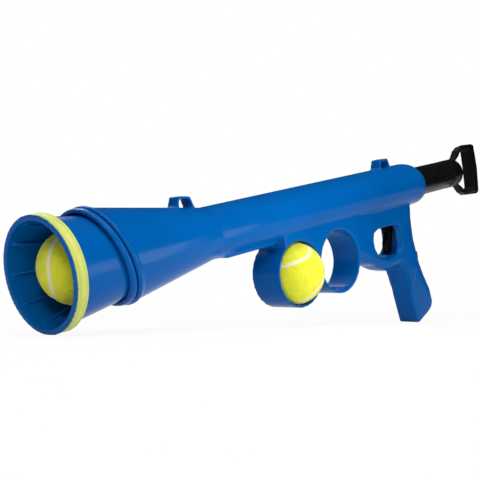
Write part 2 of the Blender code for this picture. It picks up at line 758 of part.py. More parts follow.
def window_cutter():
    """The window, which spreads towards both sides as a shallow scoop round its edge."""
    out = KEEL_HALF_WIDTH + OVERRUN
    spread = (out - GUARD_HALF_WIDTH) / (REAR_HALF_WIDTH - GUARD_HALF_WIDTH)
    narrow, wide = [], []
    for across, down in zip(WINDOW_ACROSS_SHARES, WINDOW_DOWN_SHARES):
        x, z = WINDOW_FRONT_X + WINDOW_LENGTH * across, WINDOW_TOP_Z - WINDOW_HEIGHT * down
        narrow.append((x, z))
        wide.append((x + spread * (SCOOP_BACK * across - SCOOP_FRONT * (1 - across)), z))
    sections = [(-out, wide), (-GUARD_HALF_WIDTH, narrow), (GUARD_HALF_WIDTH, narrow), (out, wide)]
    return loft("window_cutter", sections)


def bay_cutter():
    """The room for the trigger and the sear, open to the bore above and the window in front."""
    front = WINDOW_FRONT_X + WINDOW_LENGTH - BAY_LAP
    swing_x = TRIGGER_X + TRIGGER_BOSS + BAY_SWING
    outline = [
        (BAY_FRONT_X, KEEL_TOP_Z + OVERRUN),
        (BAY_FRONT_X, WINDOW_TOP_Z + BAY_STEP),
        (front, WINDOW_TOP_Z + BAY_STEP),
        (front, BAY_BOTTOM_Z),
        (swing_x, BAY_BOTTOM_Z),
        (swing_x, BAY_LEDGE_Z),
        (BAY_BACK_X, BAY_LEDGE_Z),
        (BAY_BACK_X, KEEL_TOP_Z + OVERRUN),
    ]
    return plate("bay_cutter", [outline], BAY_HALF_WIDTH)


def grip_cavity():
    """The hollow of the grip, an even wall inside its outline."""
    wall = GRIP_CAVITY_WALL
    knee = (GRIP_TOP_Z + GRIP_TOE_Z) / 2
    outline = [
        (GRIP_FRONT_X + 4 * wall, GRIP_TOP_Z - 2 * wall),
        (GRIP_FRONT_X + 4 * wall, knee),
        (GRIP_TOE_X + wall / 2, GRIP_TOE_Z + 4 * wall),
        (GRIP_TOE_X + GRIP_DEPTH - 2 * wall, GRIP_TOE_Z + GRIP_DEPTH / 2 + 2 * wall),
        (GRIP_BACK_X, GRIP_TOP_Z - 2 * wall),
    ]
    return plate("grip_cavity", [outline], GRIP_HALF_WIDTH - wall)


def sling_loop(name, middle):
    """A bridge on two legs, standing on the barrel's top."""
    feet = (middle - LOOP_BASE / 2, middle + LOOP_BASE / 2)
    tops = (middle - LOOP_TOP / 2, middle + LOOP_TOP / 2)
    outer = [
        (feet[0], barrel_radius(feet[0]) - LOOP_SINK),
        (tops[0], barrel_radius(tops[0]) + LOOP_HEIGHT),
        (tops[1], barrel_radius(tops[1]) + LOOP_HEIGHT),
        (feet[1], barrel_radius(feet[1]) - LOOP_SINK),
        (feet[1] - LOOP_BAR, barrel_radius(feet[1]) - LOOP_SINK),
        (tops[1] - LOOP_BAR / 2, barrel_radius(tops[1]) + LOOP_HEIGHT - LOOP_BAR),
        (tops[0] + LOOP_BAR / 2, barrel_radius(tops[0]) + LOOP_HEIGHT - LOOP_BAR),
        (feet[0] + LOOP_BAR, barrel_radius(feet[0]) - LOOP_SINK),
    ]
    return plate(name, [outer], LOOP_HALF_WIDTH)


def fin():
    """The thin rib under the barrel, from the cone's end to the keel."""
    outline = [
        (FIN_START_X, -TUBE_RADIUS + FIN_RISE),
        (FIN_START_X, -TUBE_RADIUS + FIN_RISE / 4),
        (FIN_START_X + FIN_RISE / 2, -TUBE_RADIUS - FIN_DEPTH),
        (KEEL_FRONT_X + OVERRUN, -TUBE_RADIUS - FIN_DEPTH),
        (KEEL_FRONT_X + OVERRUN, -TUBE_RADIUS + FIN_RISE),
    ]
    return plate("fin", [outline], FIN_HALF_WIDTH)


def screw_places():
    """Each shell screw's (x, z, half width of the shell there)."""
    above = -TUBE_RADIUS - SCREW_HEAD_RADIUS - SCREW_MARGIN
    behind = SPARE_RING_X + RING_OUTER
    back_x = (TRIGGER_X + TRIGGER_BOSS + BAY_SWING + GRIP_BACK_X - HEEL_SET_IN) / 2
    floor = WINDOW_TOP_Z - WINDOW_HEIGHT
    spots = [
        (RING_X + RING_SPACING / 2, above),
        (behind, above),
        (behind + 2 * SCREW_MARGIN, RING_Z),
        (back_x, RING_Z),
        (back_x, (floor + GRIP_TOP_Z) / 2),
    ]
    screws = [(x, z, half_width_at(x)) for x, z in spots]
    screws.append((GRIP_TOE_X + GRIP_DEPTH / 2, GRIP_TOE_Z + GRIP_DEPTH / 3, GRIP_HALF_WIDTH))
    return screws


def make_shells():
    blank = barrel_blank()
    for added in (bead(), lower_blank(), fin()):
        join(blank, added)
    for name, middle in (("front_loop", FRONT_LOOP_X), ("rear_loop", REAR_LOOP_X)):
        join(blank, sling_loop(name, middle))
    for cutter in (
        barrel_bore(),
        ring_bore("ring_bore", RING_X),
        ring_bore("spare_ring_bore", SPARE_RING_X),
        window_cutter(),
        bay_cutter(),
        grip_cavity(),
        mouth_cutter(),
    ):
        boolean(blank, cutter)
    reach = PIN_HALF_LENGTH + GAP
    pins = [(x, z, PIN_RADIUS + GAP, -reach, reach) for x, z in PIN_PLACES]
    boolean(blank, cross_pins("pin_holes", pins))
    blank = baked(blank)

    far = 2 * BARREL_END_X
    for side, name in ((-1, "body_shell_left"), (1, "body_shell_right")):
        shell = place(name, blank.data.copy(), BLUE)
        shell.rotation_euler = blank.rotation_euler
        edge = side * GAP / 2
        low = (-far, edge, -far) if side < 0 else (-far, -far, -far)
        high = (far, far, far) if side < 0 else (far, edge, far)
        boolean(shell, box(name + "_half", low, high))
        holes = []
        for x, z, half in screw_places():
            if side < 0:
                holes.append((x, z, SCREW_RADIUS + GAP, -half + SCREW_END_DEPTH - GAP, OVERRUN))
            else:
                seat = half - SCREW_SUNK - SCREW_HEAD_LENGTH - GAP
                holes.append((x, z, SCREW_RADIUS + GAP, -OVERRUN, seat + GAP / 2))
                holes.append((x, z, SCREW_HEAD_RADIUS + GAP, seat, half + OVERRUN))
        narrow = [hole for hole in holes if hole[2] < SCREW_HEAD_RADIUS]
        wide = [hole for hole in holes if hole[2] > SCREW_HEAD_RADIUS]
        boolean(shell, cross_pins(name + "_holes", narrow, steps=SMALL_STEPS))
        if wide:
            boolean(shell, cross_pins(name + "_heads", wide, steps=SMALL_STEPS))
    bpy.data.objects.remove(blank, do_unlink=True)


SEAR_X = TRIGGER_X - SEAR_BACK
PIN_PLACES = ((TRIGGER_X, TRIGGER_Z), (SEAR_X, SEAR_Z))

make_shells()


# Shell screws, each its own piece, put in from the far side
def make_screw(number, x, z, half):
    head_top = half - SCREW_SUNK
    head_foot = head_top - SCREW_HEAD_LENGTH
    tip = -half + SCREW_END_DEPTH
    name = f"shell_screw_{number}"
    outline = [
        (0, head_top),
        (SCREW_HEAD_RADIUS, head_top),
        (SCREW_HEAD_RADIUS, head_foot),
        (SCREW_RADIUS, head_foot),
        (SCREW_RADIUS, tip + SCREW_RADIUS),
        (0, tip),
    ]
    mesh = bpy.data.meshes.new(name)
    bm = bmesh.new()
    points = [bm.verts.new((radius, 0, along)) for radius, along in outline]
    for first, second in zip(points, points[1:]):
        bm.edges.new((first, second))
    bm.to_mesh(mesh)
    bm.free()
    piece = place(name, mesh, STEEL)
    piece.location = (x, 0, z)
    piece.rotation_euler = (-QUARTER, 0, 0)
    screw = piece.modifiers.new("Turn", "SCREW")
    screw.steps = screw.render_steps = SMALL_STEPS
    screw.use_merge_vertices = True
    screw.merge_threshold = MERGE


for number, (x, z, half) in enumerate(screw_places(), 1):
    make_screw(number, x, z, half)


# Plunger: pad, striker, tube with its catch groove, spring collar
PAD_FRONT_X = LAUNCH_BALL_X + BALL_RADIUS + 2 * GAP
STRIKER_X = PAD_FRONT_X + PAD_THICKNESS + GAP
ROD_START_X = STRIKER_X + STRIKER_THICKNESS + GAP
ROD_INNER = ROD_RADIUS - ROD_WALL
GUIDE_BACK_X = FRONT_GUIDE_X + FRONT_GUIDE_LENGTH + GAP + GUIDE_FLANGE
BUMPER_X = GUIDE_BACK_X + GAP
SPRING_COLLAR_X = BUMPER_X + BUMPER_LENGTH + GAP
SEAR_NOSE_X = SEAR_X - SEAR_NOSE_REACH
CATCH_X = SEAR_NOSE_X - STROKE - CATCH_LENGTH / 2


def make_plunger():
    turned(
        "striker_pad",
        [
            (PAD_FRONT_X + PAD_THICKNESS, 0),
            (PAD_FRONT_X + PAD_THICKNESS, PAD_RADIUS),
            (PAD_FRONT_X + PAD_EDGE, PAD_RADIUS),
            (PAD_FRONT_X, PAD_RADIUS - PAD_EDGE),
            (PAD_FRONT_X, 0),
        ],
        RUBBER,
        steps=INNER_STEPS,
        on_axis=True,
    )
    spigot = ROD_INNER - GAP
    cap_end = STRIKER_X + STRIKER_THICKNESS
    turned(
        "striker_cap",
        [
            (cap_end + SPIGOT_LENGTH, 0),
            (cap_end + SPIGOT_LENGTH, spigot),
            (cap_end, spigot),
            (cap_end, ROD_RADIUS),
            (STRIKER_X, ROD_RADIUS),
            (STRIKER_X, 0),
        ],
        BLACK,
        steps=INNER_STEPS,
        on_axis=True,
    )
    rod = turned(
        "plunger_tube",
        [
            (ROD_END_X, ROD_INNER),
            (ROD_END_X, ROD_RADIUS),
            (CATCH_X + CATCH_LENGTH, ROD_RADIUS),
            (CATCH_X + CATCH_LENGTH, ROD_RADIUS - CATCH_DEPTH),
            (CATCH_X, ROD_RADIUS - CATCH_DEPTH),
            (CATCH_X, ROD_RADIUS),
            (ROD_START_X, ROD_RADIUS),
            (ROD_START_X, ROD_INNER),
        ],
        BLACK,
        steps=INNER_STEPS,
    )
    pin_x = ROD_END_X - HANDLE_PIN_BACK
    pin_hole = [(pin_x, 0, PIN_RADIUS + GAP, -ROD_RADIUS - OVERRUN, ROD_RADIUS + OVERRUN)]
    boolean(rod, cross_pins("rod_pin_hole", pin_hole))
    reach = ROD_RADIUS - GAP
    cross_pins("handle_pin", [(pin_x, 0, PIN_RADIUS, -reach, reach)], STEEL)
    collar_end = SPRING_COLLAR_X + SPRING_COLLAR_LENGTH
    turned(
        "spring_collar",
        [
            (collar_end, ROD_RADIUS + GAP),
            (collar_end, SPRING_COLLAR_RADIUS),
            (SPRING_COLLAR_X, SPRING_COLLAR_RADIUS),
            (SPRING_COLLAR_X, ROD_RADIUS + GAP),
        ],
        BLACK,
        steps=INNER_STEPS,
    )


make_plunger()


# Pull handle: a hub with a spigot, two arms and a bulged bar
def make_handle():
    spigot = ROD_INNER - GAP
    hub_start = ROD_END_X + GAP
    hub_end = ROD_END_X + HUB_LENGTH
    spigot_start = ROD_END_X - 2 * HANDLE_PIN_BACK
    handle = turned(
        "pull_handle",
        [
            (hub_end, 0),
            (hub_end, HUB_RADIUS - GAP),
            (hub_end - GAP, HUB_RADIUS),
            (hub_start, HUB_RADIUS),
            (hub_start, spigot),
            (spigot_start, spigot),
            (spigot_start, 0),
        ],
        BLACK,
        steps=INNER_STEPS,
        on_axis=True,
    )
    bar_x = HANDLE_END_X - HANDLE_BAR_DEPTH
    reach = HANDLE_END_X - hub_end
    ring, hole = [], []
    for side, height in ((1, HANDLE_TOP_Z), (-1, -HANDLE_BOTTOM_Z)):
        outer = zip(HANDLE_OUTER_ALONG_SHARES, HANDLE_OUTER_ACROSS_SHARES)
        outer = [(hub_end + reach * along, side * height * across) for along, across in outer]
        inner = zip(HANDLE_INNER_ALONG_SHARES, HANDLE_INNER_ACROSS_SHARES)
        inner = [(hub_end + reach * along, side * height * across) for along, across in inner]
        ring += outer + [(HANDLE_END_X + HANDLE_BULGE, 0)] if side > 0 else list(reversed(outer))
        hole += inner + [(bar_x - HANDLE_BULGE / 2, 0)] if side > 0 else list(reversed(inner))
    frame = plate("handle_frame", [ring, hole], HANDLE_BAR_HALF_WIDTH)
    for vert in frame.data.vertices:
        if vert.co.x < bar_x - HANDLE_BAR_DEPTH:
            vert.co.z = math.copysign(HANDLE_ARM_HALF_WIDTH, vert.co.z)
    join(handle, frame)
    pin_x = ROD_END_X - HANDLE_PIN_BACK
    pin_hole = [(pin_x, 0, PIN_RADIUS + GAP, -ROD_RADIUS - OVERRUN, ROD_RADIUS + OVERRUN)]
    boolean(handle, cross_pins("spigot_pin_hole", pin_hole))
    return handle


make_handle()


# Guides, bumper and spring seat
def make_guide(name, hole_start, hole_end, hole_radius, flanges):
    """A bush that the two shells trap: its waist in the hole, its flanges against the wall."""
    inner = ROD_RADIUS + RUN_GAP
    waist = hole_radius - GAP
    outline = [(hole_end - GAP, inner), (hole_end - GAP, waist)]
    if "back" in flanges:
        back = hole_end + GAP + GUIDE_FLANGE
        outline = [(back, inner), (back, GUIDE_FLANGE_RADIUS), (hole_end + GAP, GUIDE_FLANGE_RADIUS)]
        outline.append((hole_end + GAP, waist))
    front = hole_start - GAP - GUIDE_FLANGE
    outline += [(hole_start - GAP, waist), (hole_start - GAP, GUIDE_FLANGE_RADIUS)]
    outline += [(front, GUIDE_FLANGE_RADIUS), (front, inner)]
    return turned(name, outline, NYLON, steps=INNER_STEPS)


def make_inner_pieces():
    guide_end = FRONT_GUIDE_X + FRONT_GUIDE_LENGTH
    make_guide("front_guide", FRONT_GUIDE_X, guide_end, GUIDE_HOLE_RADIUS, ("front", "back"))
    bush_end = BARREL_END_X - END_SLANT_SHARE * END_FACE_RADIUS
    make_guide("rear_bush", BARREL_ROUND_X, bush_end, END_HOLE_RADIUS, ("front",))
    bumper_end = BUMPER_X + BUMPER_LENGTH
    bore = TUBE_RADIUS - WALL - GAP
    turned(
        "front_bumper",
        [
            (bumper_end, ROD_RADIUS + 2 * GAP),
            (bumper_end, bore),
            (BUMPER_X, bore),
            (BUMPER_X, ROD_RADIUS + 2 * GAP),
        ],
        RUBBER,
        steps=INNER_STEPS,
    )
    seat_end = SPRING_RIB_X - GAP
    turned(
        "spring_seat",
        [
            (seat_end, ROD_RADIUS + 2 * GAP),
            (seat_end, bore),
            (seat_end - SEAT_THICKNESS, bore),
            (seat_end - SEAT_THICKNESS, ROD_RADIUS + 2 * GAP),
        ],
        STEEL,
        steps=INNER_STEPS,
    )


make_inner_pieces()


# Main spring, between the spring collar and its seat
def make_main_spring():
    start = SPRING_COLLAR_X + SPRING_COLLAR_LENGTH + GAP + SPRING_WIRE_RADIUS
    end = SPRING_RIB_X - GAP - SEAT_THICKNESS - GAP - SPRING_WIRE_RADIUS
    radius = (ROD_RADIUS + TUBE_RADIUS - WALL) / 2
    count = SPRING_TURNS * SPRING_POINTS_PER_TURN
    points = []
    for i in range(count + 1):
        angle = 2 * math.pi * i / SPRING_POINTS_PER_TURN
        x = start + (end - start) * i / count
        points.append((x, radius * math.sin(angle), radius * math.cos(angle)))
    print(f"main spring: least gap between turns {(end - start) / SPRING_TURNS - 2 * SPRING_WIRE_RADIUS:.5f} m")
    return tube_along("main_spring", points, SPRING_WIRE_RADIUS, STEEL)


make_main_spring()


# Trigger and sear with their pins and return spring
def make_trigger():
    tip_z = TRIGGER_Z - TRIGGER_LENGTH
    tip_x = TRIGGER_X - SEAR_BACK - TRIGGER_BOSS * 3 / 4
    front_x = TRIGGER_X - TRIGGER_BOSS
    contact_z = SEAR_TAIL_Z - GAP
    outline = arc((TRIGGER_X, TRIGGER_Z), TRIGGER_BOSS, 60, 190, 6)
    outline += [
        (front_x - TRIGGER_DEPTH / 4, TRIGGER_Z - TRIGGER_LENGTH / 3),
        (tip_x - TRIGGER_DEPTH / 8, TRIGGER_Z - TRIGGER_LENGTH * 2 / 3),
        (tip_x - TRIGGER_DEPTH / 4, tip_z + TRIGGER_DEPTH / 4),
        (tip_x, tip_z),
        (tip_x + TRIGGER_DEPTH * 3 / 4, tip_z),
        (tip_x + TRIGGER_DEPTH, tip_z + TRIGGER_DEPTH / 4),
        (front_x + TRIGGER_DEPTH * 3 / 4, TRIGGER_Z - TRIGGER_LENGTH / 2),
        (TRIGGER_X + TRIGGER_BOSS, TRIGGER_Z - TRIGGER_BOSS),
        (TRIGGER_X + TRIGGER_ARM + TRIGGER_BOSS / 2, contact_z - TRIGGER_BOSS),
        (TRIGGER_X + TRIGGER_ARM + TRIGGER_BOSS / 4, contact_z),
        (TRIGGER_X + TRIGGER_ARM - TRIGGER_BOSS / 4, contact_z),
        (TRIGGER_X + TRIGGER_BOSS, contact_z - TRIGGER_BOSS / 2),
    ]
    trigger = plate("trigger", [outline], TRIGGER_HALF_WIDTH, BLACK, pivot=(TRIGGER_X, TRIGGER_Z))
    through = TRIGGER_HALF_WIDTH + OVERRUN
    hole = [(TRIGGER_X, TRIGGER_Z, PIN_RADIUS + GAP, -through, through)]
    return boolean(trigger, cross_pins("trigger_hole", hole))


def make_sear():
    nose_top = -ROD_RADIUS - RUN_GAP - GAP / 2
    nose_front = SEAR_NOSE_X - SEAR_NOSE_LENGTH / 2
    nose_back = SEAR_NOSE_X + SEAR_NOSE_LENGTH / 2
    tail_x = TRIGGER_X + TRIGGER_ARM + TRIGGER_BOSS / 2
    outline = [
        (nose_front, nose_top),
        (nose_front, SEAR_Z + SEAR_BOSS / 4),
        (nose_front + SEAR_NOSE_LENGTH / 2, SEAR_Z - SEAR_BOSS / 2),
    ]
    outline += arc((SEAR_X, SEAR_Z), SEAR_BOSS, 230, 290, 3)
    outline += [
        (TRIGGER_X + TRIGGER_ARM / 2, SEAR_TAIL_Z + SEAR_BOSS / 8),
        (TRIGGER_X + TRIGGER_ARM / 2, SEAR_TAIL_Z),
        (tail_x, SEAR_TAIL_Z),
        (tail_x, SEAR_TAIL_Z + SEAR_BOSS * 3 / 4),
        (SEAR_X + SEAR_BOSS, SEAR_Z + SEAR_BOSS / 2),
    ]
    outline += arc((SEAR_X, SEAR_Z), SEAR_BOSS, 60, 120, 3)
    outline += [(nose_back, SEAR_Z + SEAR_BOSS), (nose_back, nose_top)]
    sear = plate("sear", [outline], SEAR_HALF_WIDTH, STEEL, pivot=(SEAR_X, SEAR_Z))
    through = SEAR_HALF_WIDTH + OVERRUN
    hole = [(SEAR_X, SEAR_Z, PIN_RADIUS + GAP, -through, through)]
    return boolean(sear, cross_pins("sear_hole", hole))


def make_trigger_spring():
    """A torsion spring round the trigger's pin, one leg on the trigger and one on the bay's back."""
    radius = PIN_RADIUS + GAP + 2 * TORSION_WIRE_RADIUS
    pitch = 2 * TORSION_WIRE_RADIUS + TORSION_GAP
    start = TRIGGER_HALF_WIDTH + GAP + TORSION_WIRE_RADIUS
    count = TORSION_TURNS * SPRING_POINTS_PER_TURN
    points = [(TRIGGER_X - radius, start, TRIGGER_Z - TORSION_LEG)]
    for i in range(count + SPRING_POINTS_PER_TURN // 4 + 1):
        angle = 2 * math.pi * i / SPRING_POINTS_PER_TURN
        y = start + pitch * i / SPRING_POINTS_PER_TURN
        points.append((TRIGGER_X - radius * math.cos(angle), y, TRIGGER_Z + radius * math.sin(angle)))
    return tube_along("trigger_spring", points, TORSION_WIRE_RADIUS, STEEL)


make_trigger()
make_sear()
make_trigger_spring()
for name, (x, z) in zip(("trigger_pin", "sear_pin"), PIN_PLACES):
    cross_pins(name, [(x, z, PIN_RADIUS, -PIN_HALF_LENGTH, PIN_HALF_LENGTH)], STEEL)


# Stand the launcher on its band and toe, with the middle of its length over the origin
def stand_up():
    LAUNCHER.rotation_euler = (0, -LEAN, 0)
    bpy.context.view_layer.update()
    graph = bpy.context.evaluated_depsgraph_get()
    spots = []
    for piece in PARTS.objects:
        if piece.type == "EMPTY":
            continue
        made = piece.evaluated_get(graph)
        spots += [made.matrix_world @ vert.co for vert in made.to_mesh().vertices]
        made.to_mesh_clear()
    xs = [spot.x for spot in spots]
    LAUNCHER.location = (-(min(xs) + max(xs)) / 2, 0, -min(spot.z for spot in spots))
    bpy.context.view_layer.update()


stand_up()
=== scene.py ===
# %% [markdown]
# # Dog ball thrower
#
# The real thing is a hand-held launcher: a long blue plastic barrel with a flared nozzle, a felt ball in
# the nozzle and a spare one in a ring under the barrel, a pistol grip, and a black plunger with a pull
# handle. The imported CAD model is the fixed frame. This lesson dresses it: moulded plastic gets rounded
# edges, the balls get felt and a seam, and every surface gets a material made of nodes.

# %% Load the frame
import json
import math

import bmesh
import bpy
import numpy as np
from mathutils import Matrix, Quaternion, Vector, noise


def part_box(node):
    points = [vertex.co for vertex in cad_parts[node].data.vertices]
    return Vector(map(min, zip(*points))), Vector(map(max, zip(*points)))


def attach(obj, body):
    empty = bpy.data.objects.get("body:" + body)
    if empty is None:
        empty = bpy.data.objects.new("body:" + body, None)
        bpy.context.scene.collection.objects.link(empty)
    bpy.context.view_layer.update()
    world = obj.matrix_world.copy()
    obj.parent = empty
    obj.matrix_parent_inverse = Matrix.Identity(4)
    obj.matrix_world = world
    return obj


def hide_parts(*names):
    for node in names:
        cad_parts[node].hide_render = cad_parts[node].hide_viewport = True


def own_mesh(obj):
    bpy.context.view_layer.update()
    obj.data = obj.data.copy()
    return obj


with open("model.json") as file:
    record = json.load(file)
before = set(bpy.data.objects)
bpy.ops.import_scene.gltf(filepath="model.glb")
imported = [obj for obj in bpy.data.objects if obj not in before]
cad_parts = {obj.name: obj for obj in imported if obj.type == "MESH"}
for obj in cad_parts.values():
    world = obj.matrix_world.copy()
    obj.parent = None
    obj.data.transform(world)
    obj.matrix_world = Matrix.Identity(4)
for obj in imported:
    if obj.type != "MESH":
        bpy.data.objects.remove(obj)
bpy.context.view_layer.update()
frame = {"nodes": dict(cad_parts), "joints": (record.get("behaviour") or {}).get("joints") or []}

# %% [markdown]
# ## The barrel's own frame
#
# The launcher leans on its nozzle's rim and its grip, so the barrel isn't level. Shapes are easier to
# describe along the barrel, with x from the mouth to the handle. The joint that the plunger slides
# along gives that direction, and the launch ball's middle gives the place.

# %% Barrel frame
MM = 0.001
LAUNCH_BALL_X = 36 * MM
joints = {joint["name"]: joint for joint in frame["joints"]}
along = Vector(joints["plunger_slide"]["axis"]).normalized()
across = Vector((0, 1, 0))
upward = along.cross(across)


def middle_of(node):
    low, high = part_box(node)
    return (low + high) / 2


mouth = middle_of("launch_ball") - along * LAUNCH_BALL_X
BARREL = Matrix((along, across, upward)).transposed().to_4x4()
BARREL.translation = mouth
INTO_BARREL = BARREL.inverted()
print("barrel rises", round(math.degrees(math.asin(along.z)), 2), "degrees")


# %% [markdown]
# ## Tools for meshes
#
# A moulded part has no sharp edges. A quick way to round all of them at once is to rebuild the part's
# skin on a fine grid of voxels and relax it a little. Relaxing also blurs the barrel's round faces, so
# the points that lie near a true surface are put back on it afterwards.

# %% Mesh helpers
def link(name, mesh):
    piece = bpy.data.objects.new(name, mesh)
    bpy.context.scene.collection.objects.link(piece)
    return piece


def flatten_modifiers(piece):
    """Turns a piece with live modifiers into a plain mesh."""
    graph = bpy.context.evaluated_depsgraph_get()
    mesh = bpy.data.meshes.new_from_object(piece.evaluated_get(graph))
    piece.modifiers.clear()
    piece.data = mesh
    mesh.name = piece.name


def merged_copy(node):
    """A copy of a CAD node's mesh without its paint, whose loose triangles are joined."""
    mesh = frame["nodes"][node].data.copy()
    mesh.materials.clear()
    bm = bmesh.new()
    bm.from_mesh(mesh)
    bmesh.ops.remove_doubles(bm, verts=bm.verts, dist=0.005 * MM)
    bm.to_mesh(mesh)
    bm.free()
    return mesh


def moulded(name, node, voxel, relax):
    """A CAD node's shape with a fine skin and rounded edges."""
    piece = link(name, merged_copy(node))
    skin = piece.modifiers.new("Skin", "REMESH")
    skin.mode = "VOXEL"
    skin.voxel_size = voxel
    skin.use_smooth_shade = True
    soften = piece.modifiers.new("Soften", "SMOOTH")
    soften.factor = 0.5
    soften.iterations = relax
    flatten_modifiers(piece)
    print(name, "faces", len(piece.data.polygons))
    return piece


def points_of(mesh, matrix):
    """A mesh's points as an array, in another frame."""
    flat = np.empty(len(mesh.vertices) * 3)
    mesh.vertices.foreach_get("co", flat)
    m = np.array(matrix)
    return flat.reshape(-1, 3) @ m[:3, :3].T + m[:3, 3]


def put_points(mesh, points, matrix):
    m = np.array(matrix)
    mesh.vertices.foreach_set("co", (points @ m[:3, :3].T + m[:3, 3]).ravel())
    mesh.update()


def onto_circle(points, centre, radius, reach, axes=(1, 2)):
    """Moves the points that lie within reach of a round surface onto it."""
    a, b = axes
    da, db = points[:, a] - centre[0], points[:, b] - centre[1]
    found = np.hypot(da, db)
    near = (np.abs(found - radius) < reach) & (found > 0)
    share = np.where(near, radius / np.maximum(found, MM), 1.0)
    points[:, a] = centre[0] + da * share
    points[:, b] = centre[1] + db * share
    return points


def lathe(name, outline, steps):
    """A tube turned about the barrel's axis, from a closed loop of (place along, radius) points."""
    bm = bmesh.new()
    turn = [2 * math.pi * i / steps for i in range(steps)]
    rings = [
        [bm.verts.new((x, radius * math.cos(t), radius * math.sin(t))) for t in turn]
        for x, radius in outline
    ]
    for first, second in zip(rings, rings[1:] + rings[:1]):
        for i in range(steps):
            j = (i + 1) % steps
            bm.faces.new((first[i], first[j], second[j], second[i]))
    bmesh.ops.recalc_face_normals(bm, faces=bm.faces)
    mesh = bpy.data.meshes.new(name)
    bm.to_mesh(mesh)
    bm.free()
    mesh.transform(BARREL)
    mesh.shade_smooth()
    return link(name, mesh)


def lay_along_barrel(mesh, start_x):
    """Turns a shape made along z onto the barrel's axis, starting at a place along it."""
    start = Matrix.Translation((start_x, 0, 0))
    mesh.transform(BARREL @ start @ Matrix.Rotation(math.pi / 2, 4, "Y"))


# %% [markdown]
# ## Tools for Geometry Nodes
#
# What repeats or follows a rule is made by a node tree: the band and its two beads, the felt's fibres,
# the screws and the main spring. Each tree has named inputs, and each input is set on the modifier by
# its socket's identifier. The result is turned into a plain mesh before anything else is done with it.

# %% Node tree helpers
def new_tree(name, inputs):
    """A node tree with a geometry input, the named inputs, and one geometry output."""
    tree = bpy.data.node_groups.new(name, "GeometryNodeTree")
    tree.interface.new_socket("Geometry", in_out="INPUT", socket_type="NodeSocketGeometry")
    for label, (kind, value) in inputs.items():
        socket = tree.interface.new_socket(label, in_out="INPUT", socket_type="NodeSocket" + kind)
        if value is not None:
            socket.default_value = value
    tree.interface.new_socket("Geometry", in_out="OUTPUT", socket_type="NodeSocketGeometry")
    return tree, tree.nodes.new("NodeGroupInput"), tree.nodes.new("NodeGroupOutput")


def wire(tree, node_type, settings=None, **sources):
    """Adds a node. A source is a socket to link, or a value; underscores stand for spaces."""
    node = tree.nodes.new(node_type)
    for key, value in (settings or {}).items():
        setattr(node, key, value)
    for key, source in sources.items():
        socket = node.inputs[key.replace("_", " ")]
        if isinstance(source, bpy.types.NodeSocket):
            tree.links.new(source, socket)
        else:
            socket.default_value = source
    return node


def close_tree(tree, shape, outlet, material):
    """Every tree ends in Realize Instances and Set Material."""
    real = wire(tree, "GeometryNodeRealizeInstances", Geometry=shape)
    painted = wire(tree, "GeometryNodeSetMaterial", Geometry=real.outputs["Geometry"], Material=material)
    tree.links.new(painted.outputs["Geometry"], outlet.inputs["Geometry"])


def grown(name, tree, base=None, **values):
    """The tree's result as a plain mesh. Values are set by the inputs' identifiers."""
    piece = link(name, base if base else bpy.data.meshes.new(name))
    growth = piece.modifiers.new("Growth", "NODES")
    growth.node_group = tree
    for item in tree.interface.items_tree:
        label = item.name.replace(" ", "_")
        if item.in_out == "INPUT" and label in values:
            growth[item.identifier] = values[label]
    flatten_modifiers(piece)
    print(name, "faces", len(piece.data.polygons))
    return piece


# %% [markdown]
# ## Materials
#
# A glossy moulding is never one flat colour. Its surface has a faint orange peel, the gloss changes a
# little where hands and floor have rubbed it, and edges are a touch paler. Each of these is one noise
# texture in Object coordinates, feeding the colour, the roughness or the bump.

# %% Material helpers
def new_material(name):
    material = bpy.data.materials.new(name)
    material.use_nodes = True
    tree = material.node_tree
    return material, tree, tree.nodes["Principled BSDF"]


def object_noise(tree, scale, detail=3.0, stretch=(1, 1, 1), roughness=0.5):
    place = tree.nodes.new("ShaderNodeTexCoord")
    mapping = wire(tree, "ShaderNodeMapping", Vector=place.outputs["Object"], Scale=stretch)
    grain = wire(tree, "ShaderNodeTexNoise", Vector=mapping.outputs["Vector"], Scale=scale)
    grain.inputs["Detail"].default_value = detail
    grain.inputs["Roughness"].default_value = roughness
    return grain.outputs["Fac"]


def between(tree, factor, low, high, start=0.3, end=0.7):
    """A number that runs from low to high as the factor runs from start to end."""
    node = wire(tree, "ShaderNodeMapRange", Value=factor)
    for key, value in {"From Min": start, "From Max": end, "To Min": low, "To Max": high}.items():
        node.inputs[key].default_value = value
    return node.outputs["Result"]


def blend_colours(tree, factor, first, second):
    node = tree.nodes.new("ShaderNodeMix")
    node.data_type = "RGBA"
    tree.links.new(factor, node.inputs["Factor"])
    sockets = [socket for socket in node.inputs if socket.type == "RGBA"]
    for socket, colour in zip(sockets, (first, second)):
        if isinstance(colour, bpy.types.NodeSocket):
            tree.links.new(colour, socket)
        else:
            socket.default_value = (*colour, 1)
    return [socket for socket in node.outputs if socket.type == "RGBA"][0]


def bump(tree, height, strength, distance, under=None):
    node = wire(tree, "ShaderNodeBump", Height=height, Strength=strength, Distance=distance)
    if under:
        tree.links.new(under, node.inputs["Normal"])
    return node.outputs["Normal"]


def worn_edges(tree):
    """1 along convex edges, 0 elsewhere."""
    shape = tree.nodes.new("ShaderNodeNewGeometry")
    return between(tree, shape.outputs["Pointiness"], 0, 1, 0.52, 0.6)


def parting_line(tree):
    """1 on the hairline at y = 0 where the two halves of the body meet."""
    place = tree.nodes.new("ShaderNodeTexCoord")
    split = wire(tree, "ShaderNodeSeparateXYZ", Vector=place.outputs["Object"])
    away = wire(tree, "ShaderNodeMath", {"operation": "ABSOLUTE"})
    tree.links.new(split.outputs["Y"], away.inputs[0])
    return between(tree, away.outputs["Value"], 1, 0, 0.1 * MM, 0.22 * MM)


# %% Plastics, rubber and metal
PARTING_BLUE = (0, 0.03, 0.12)


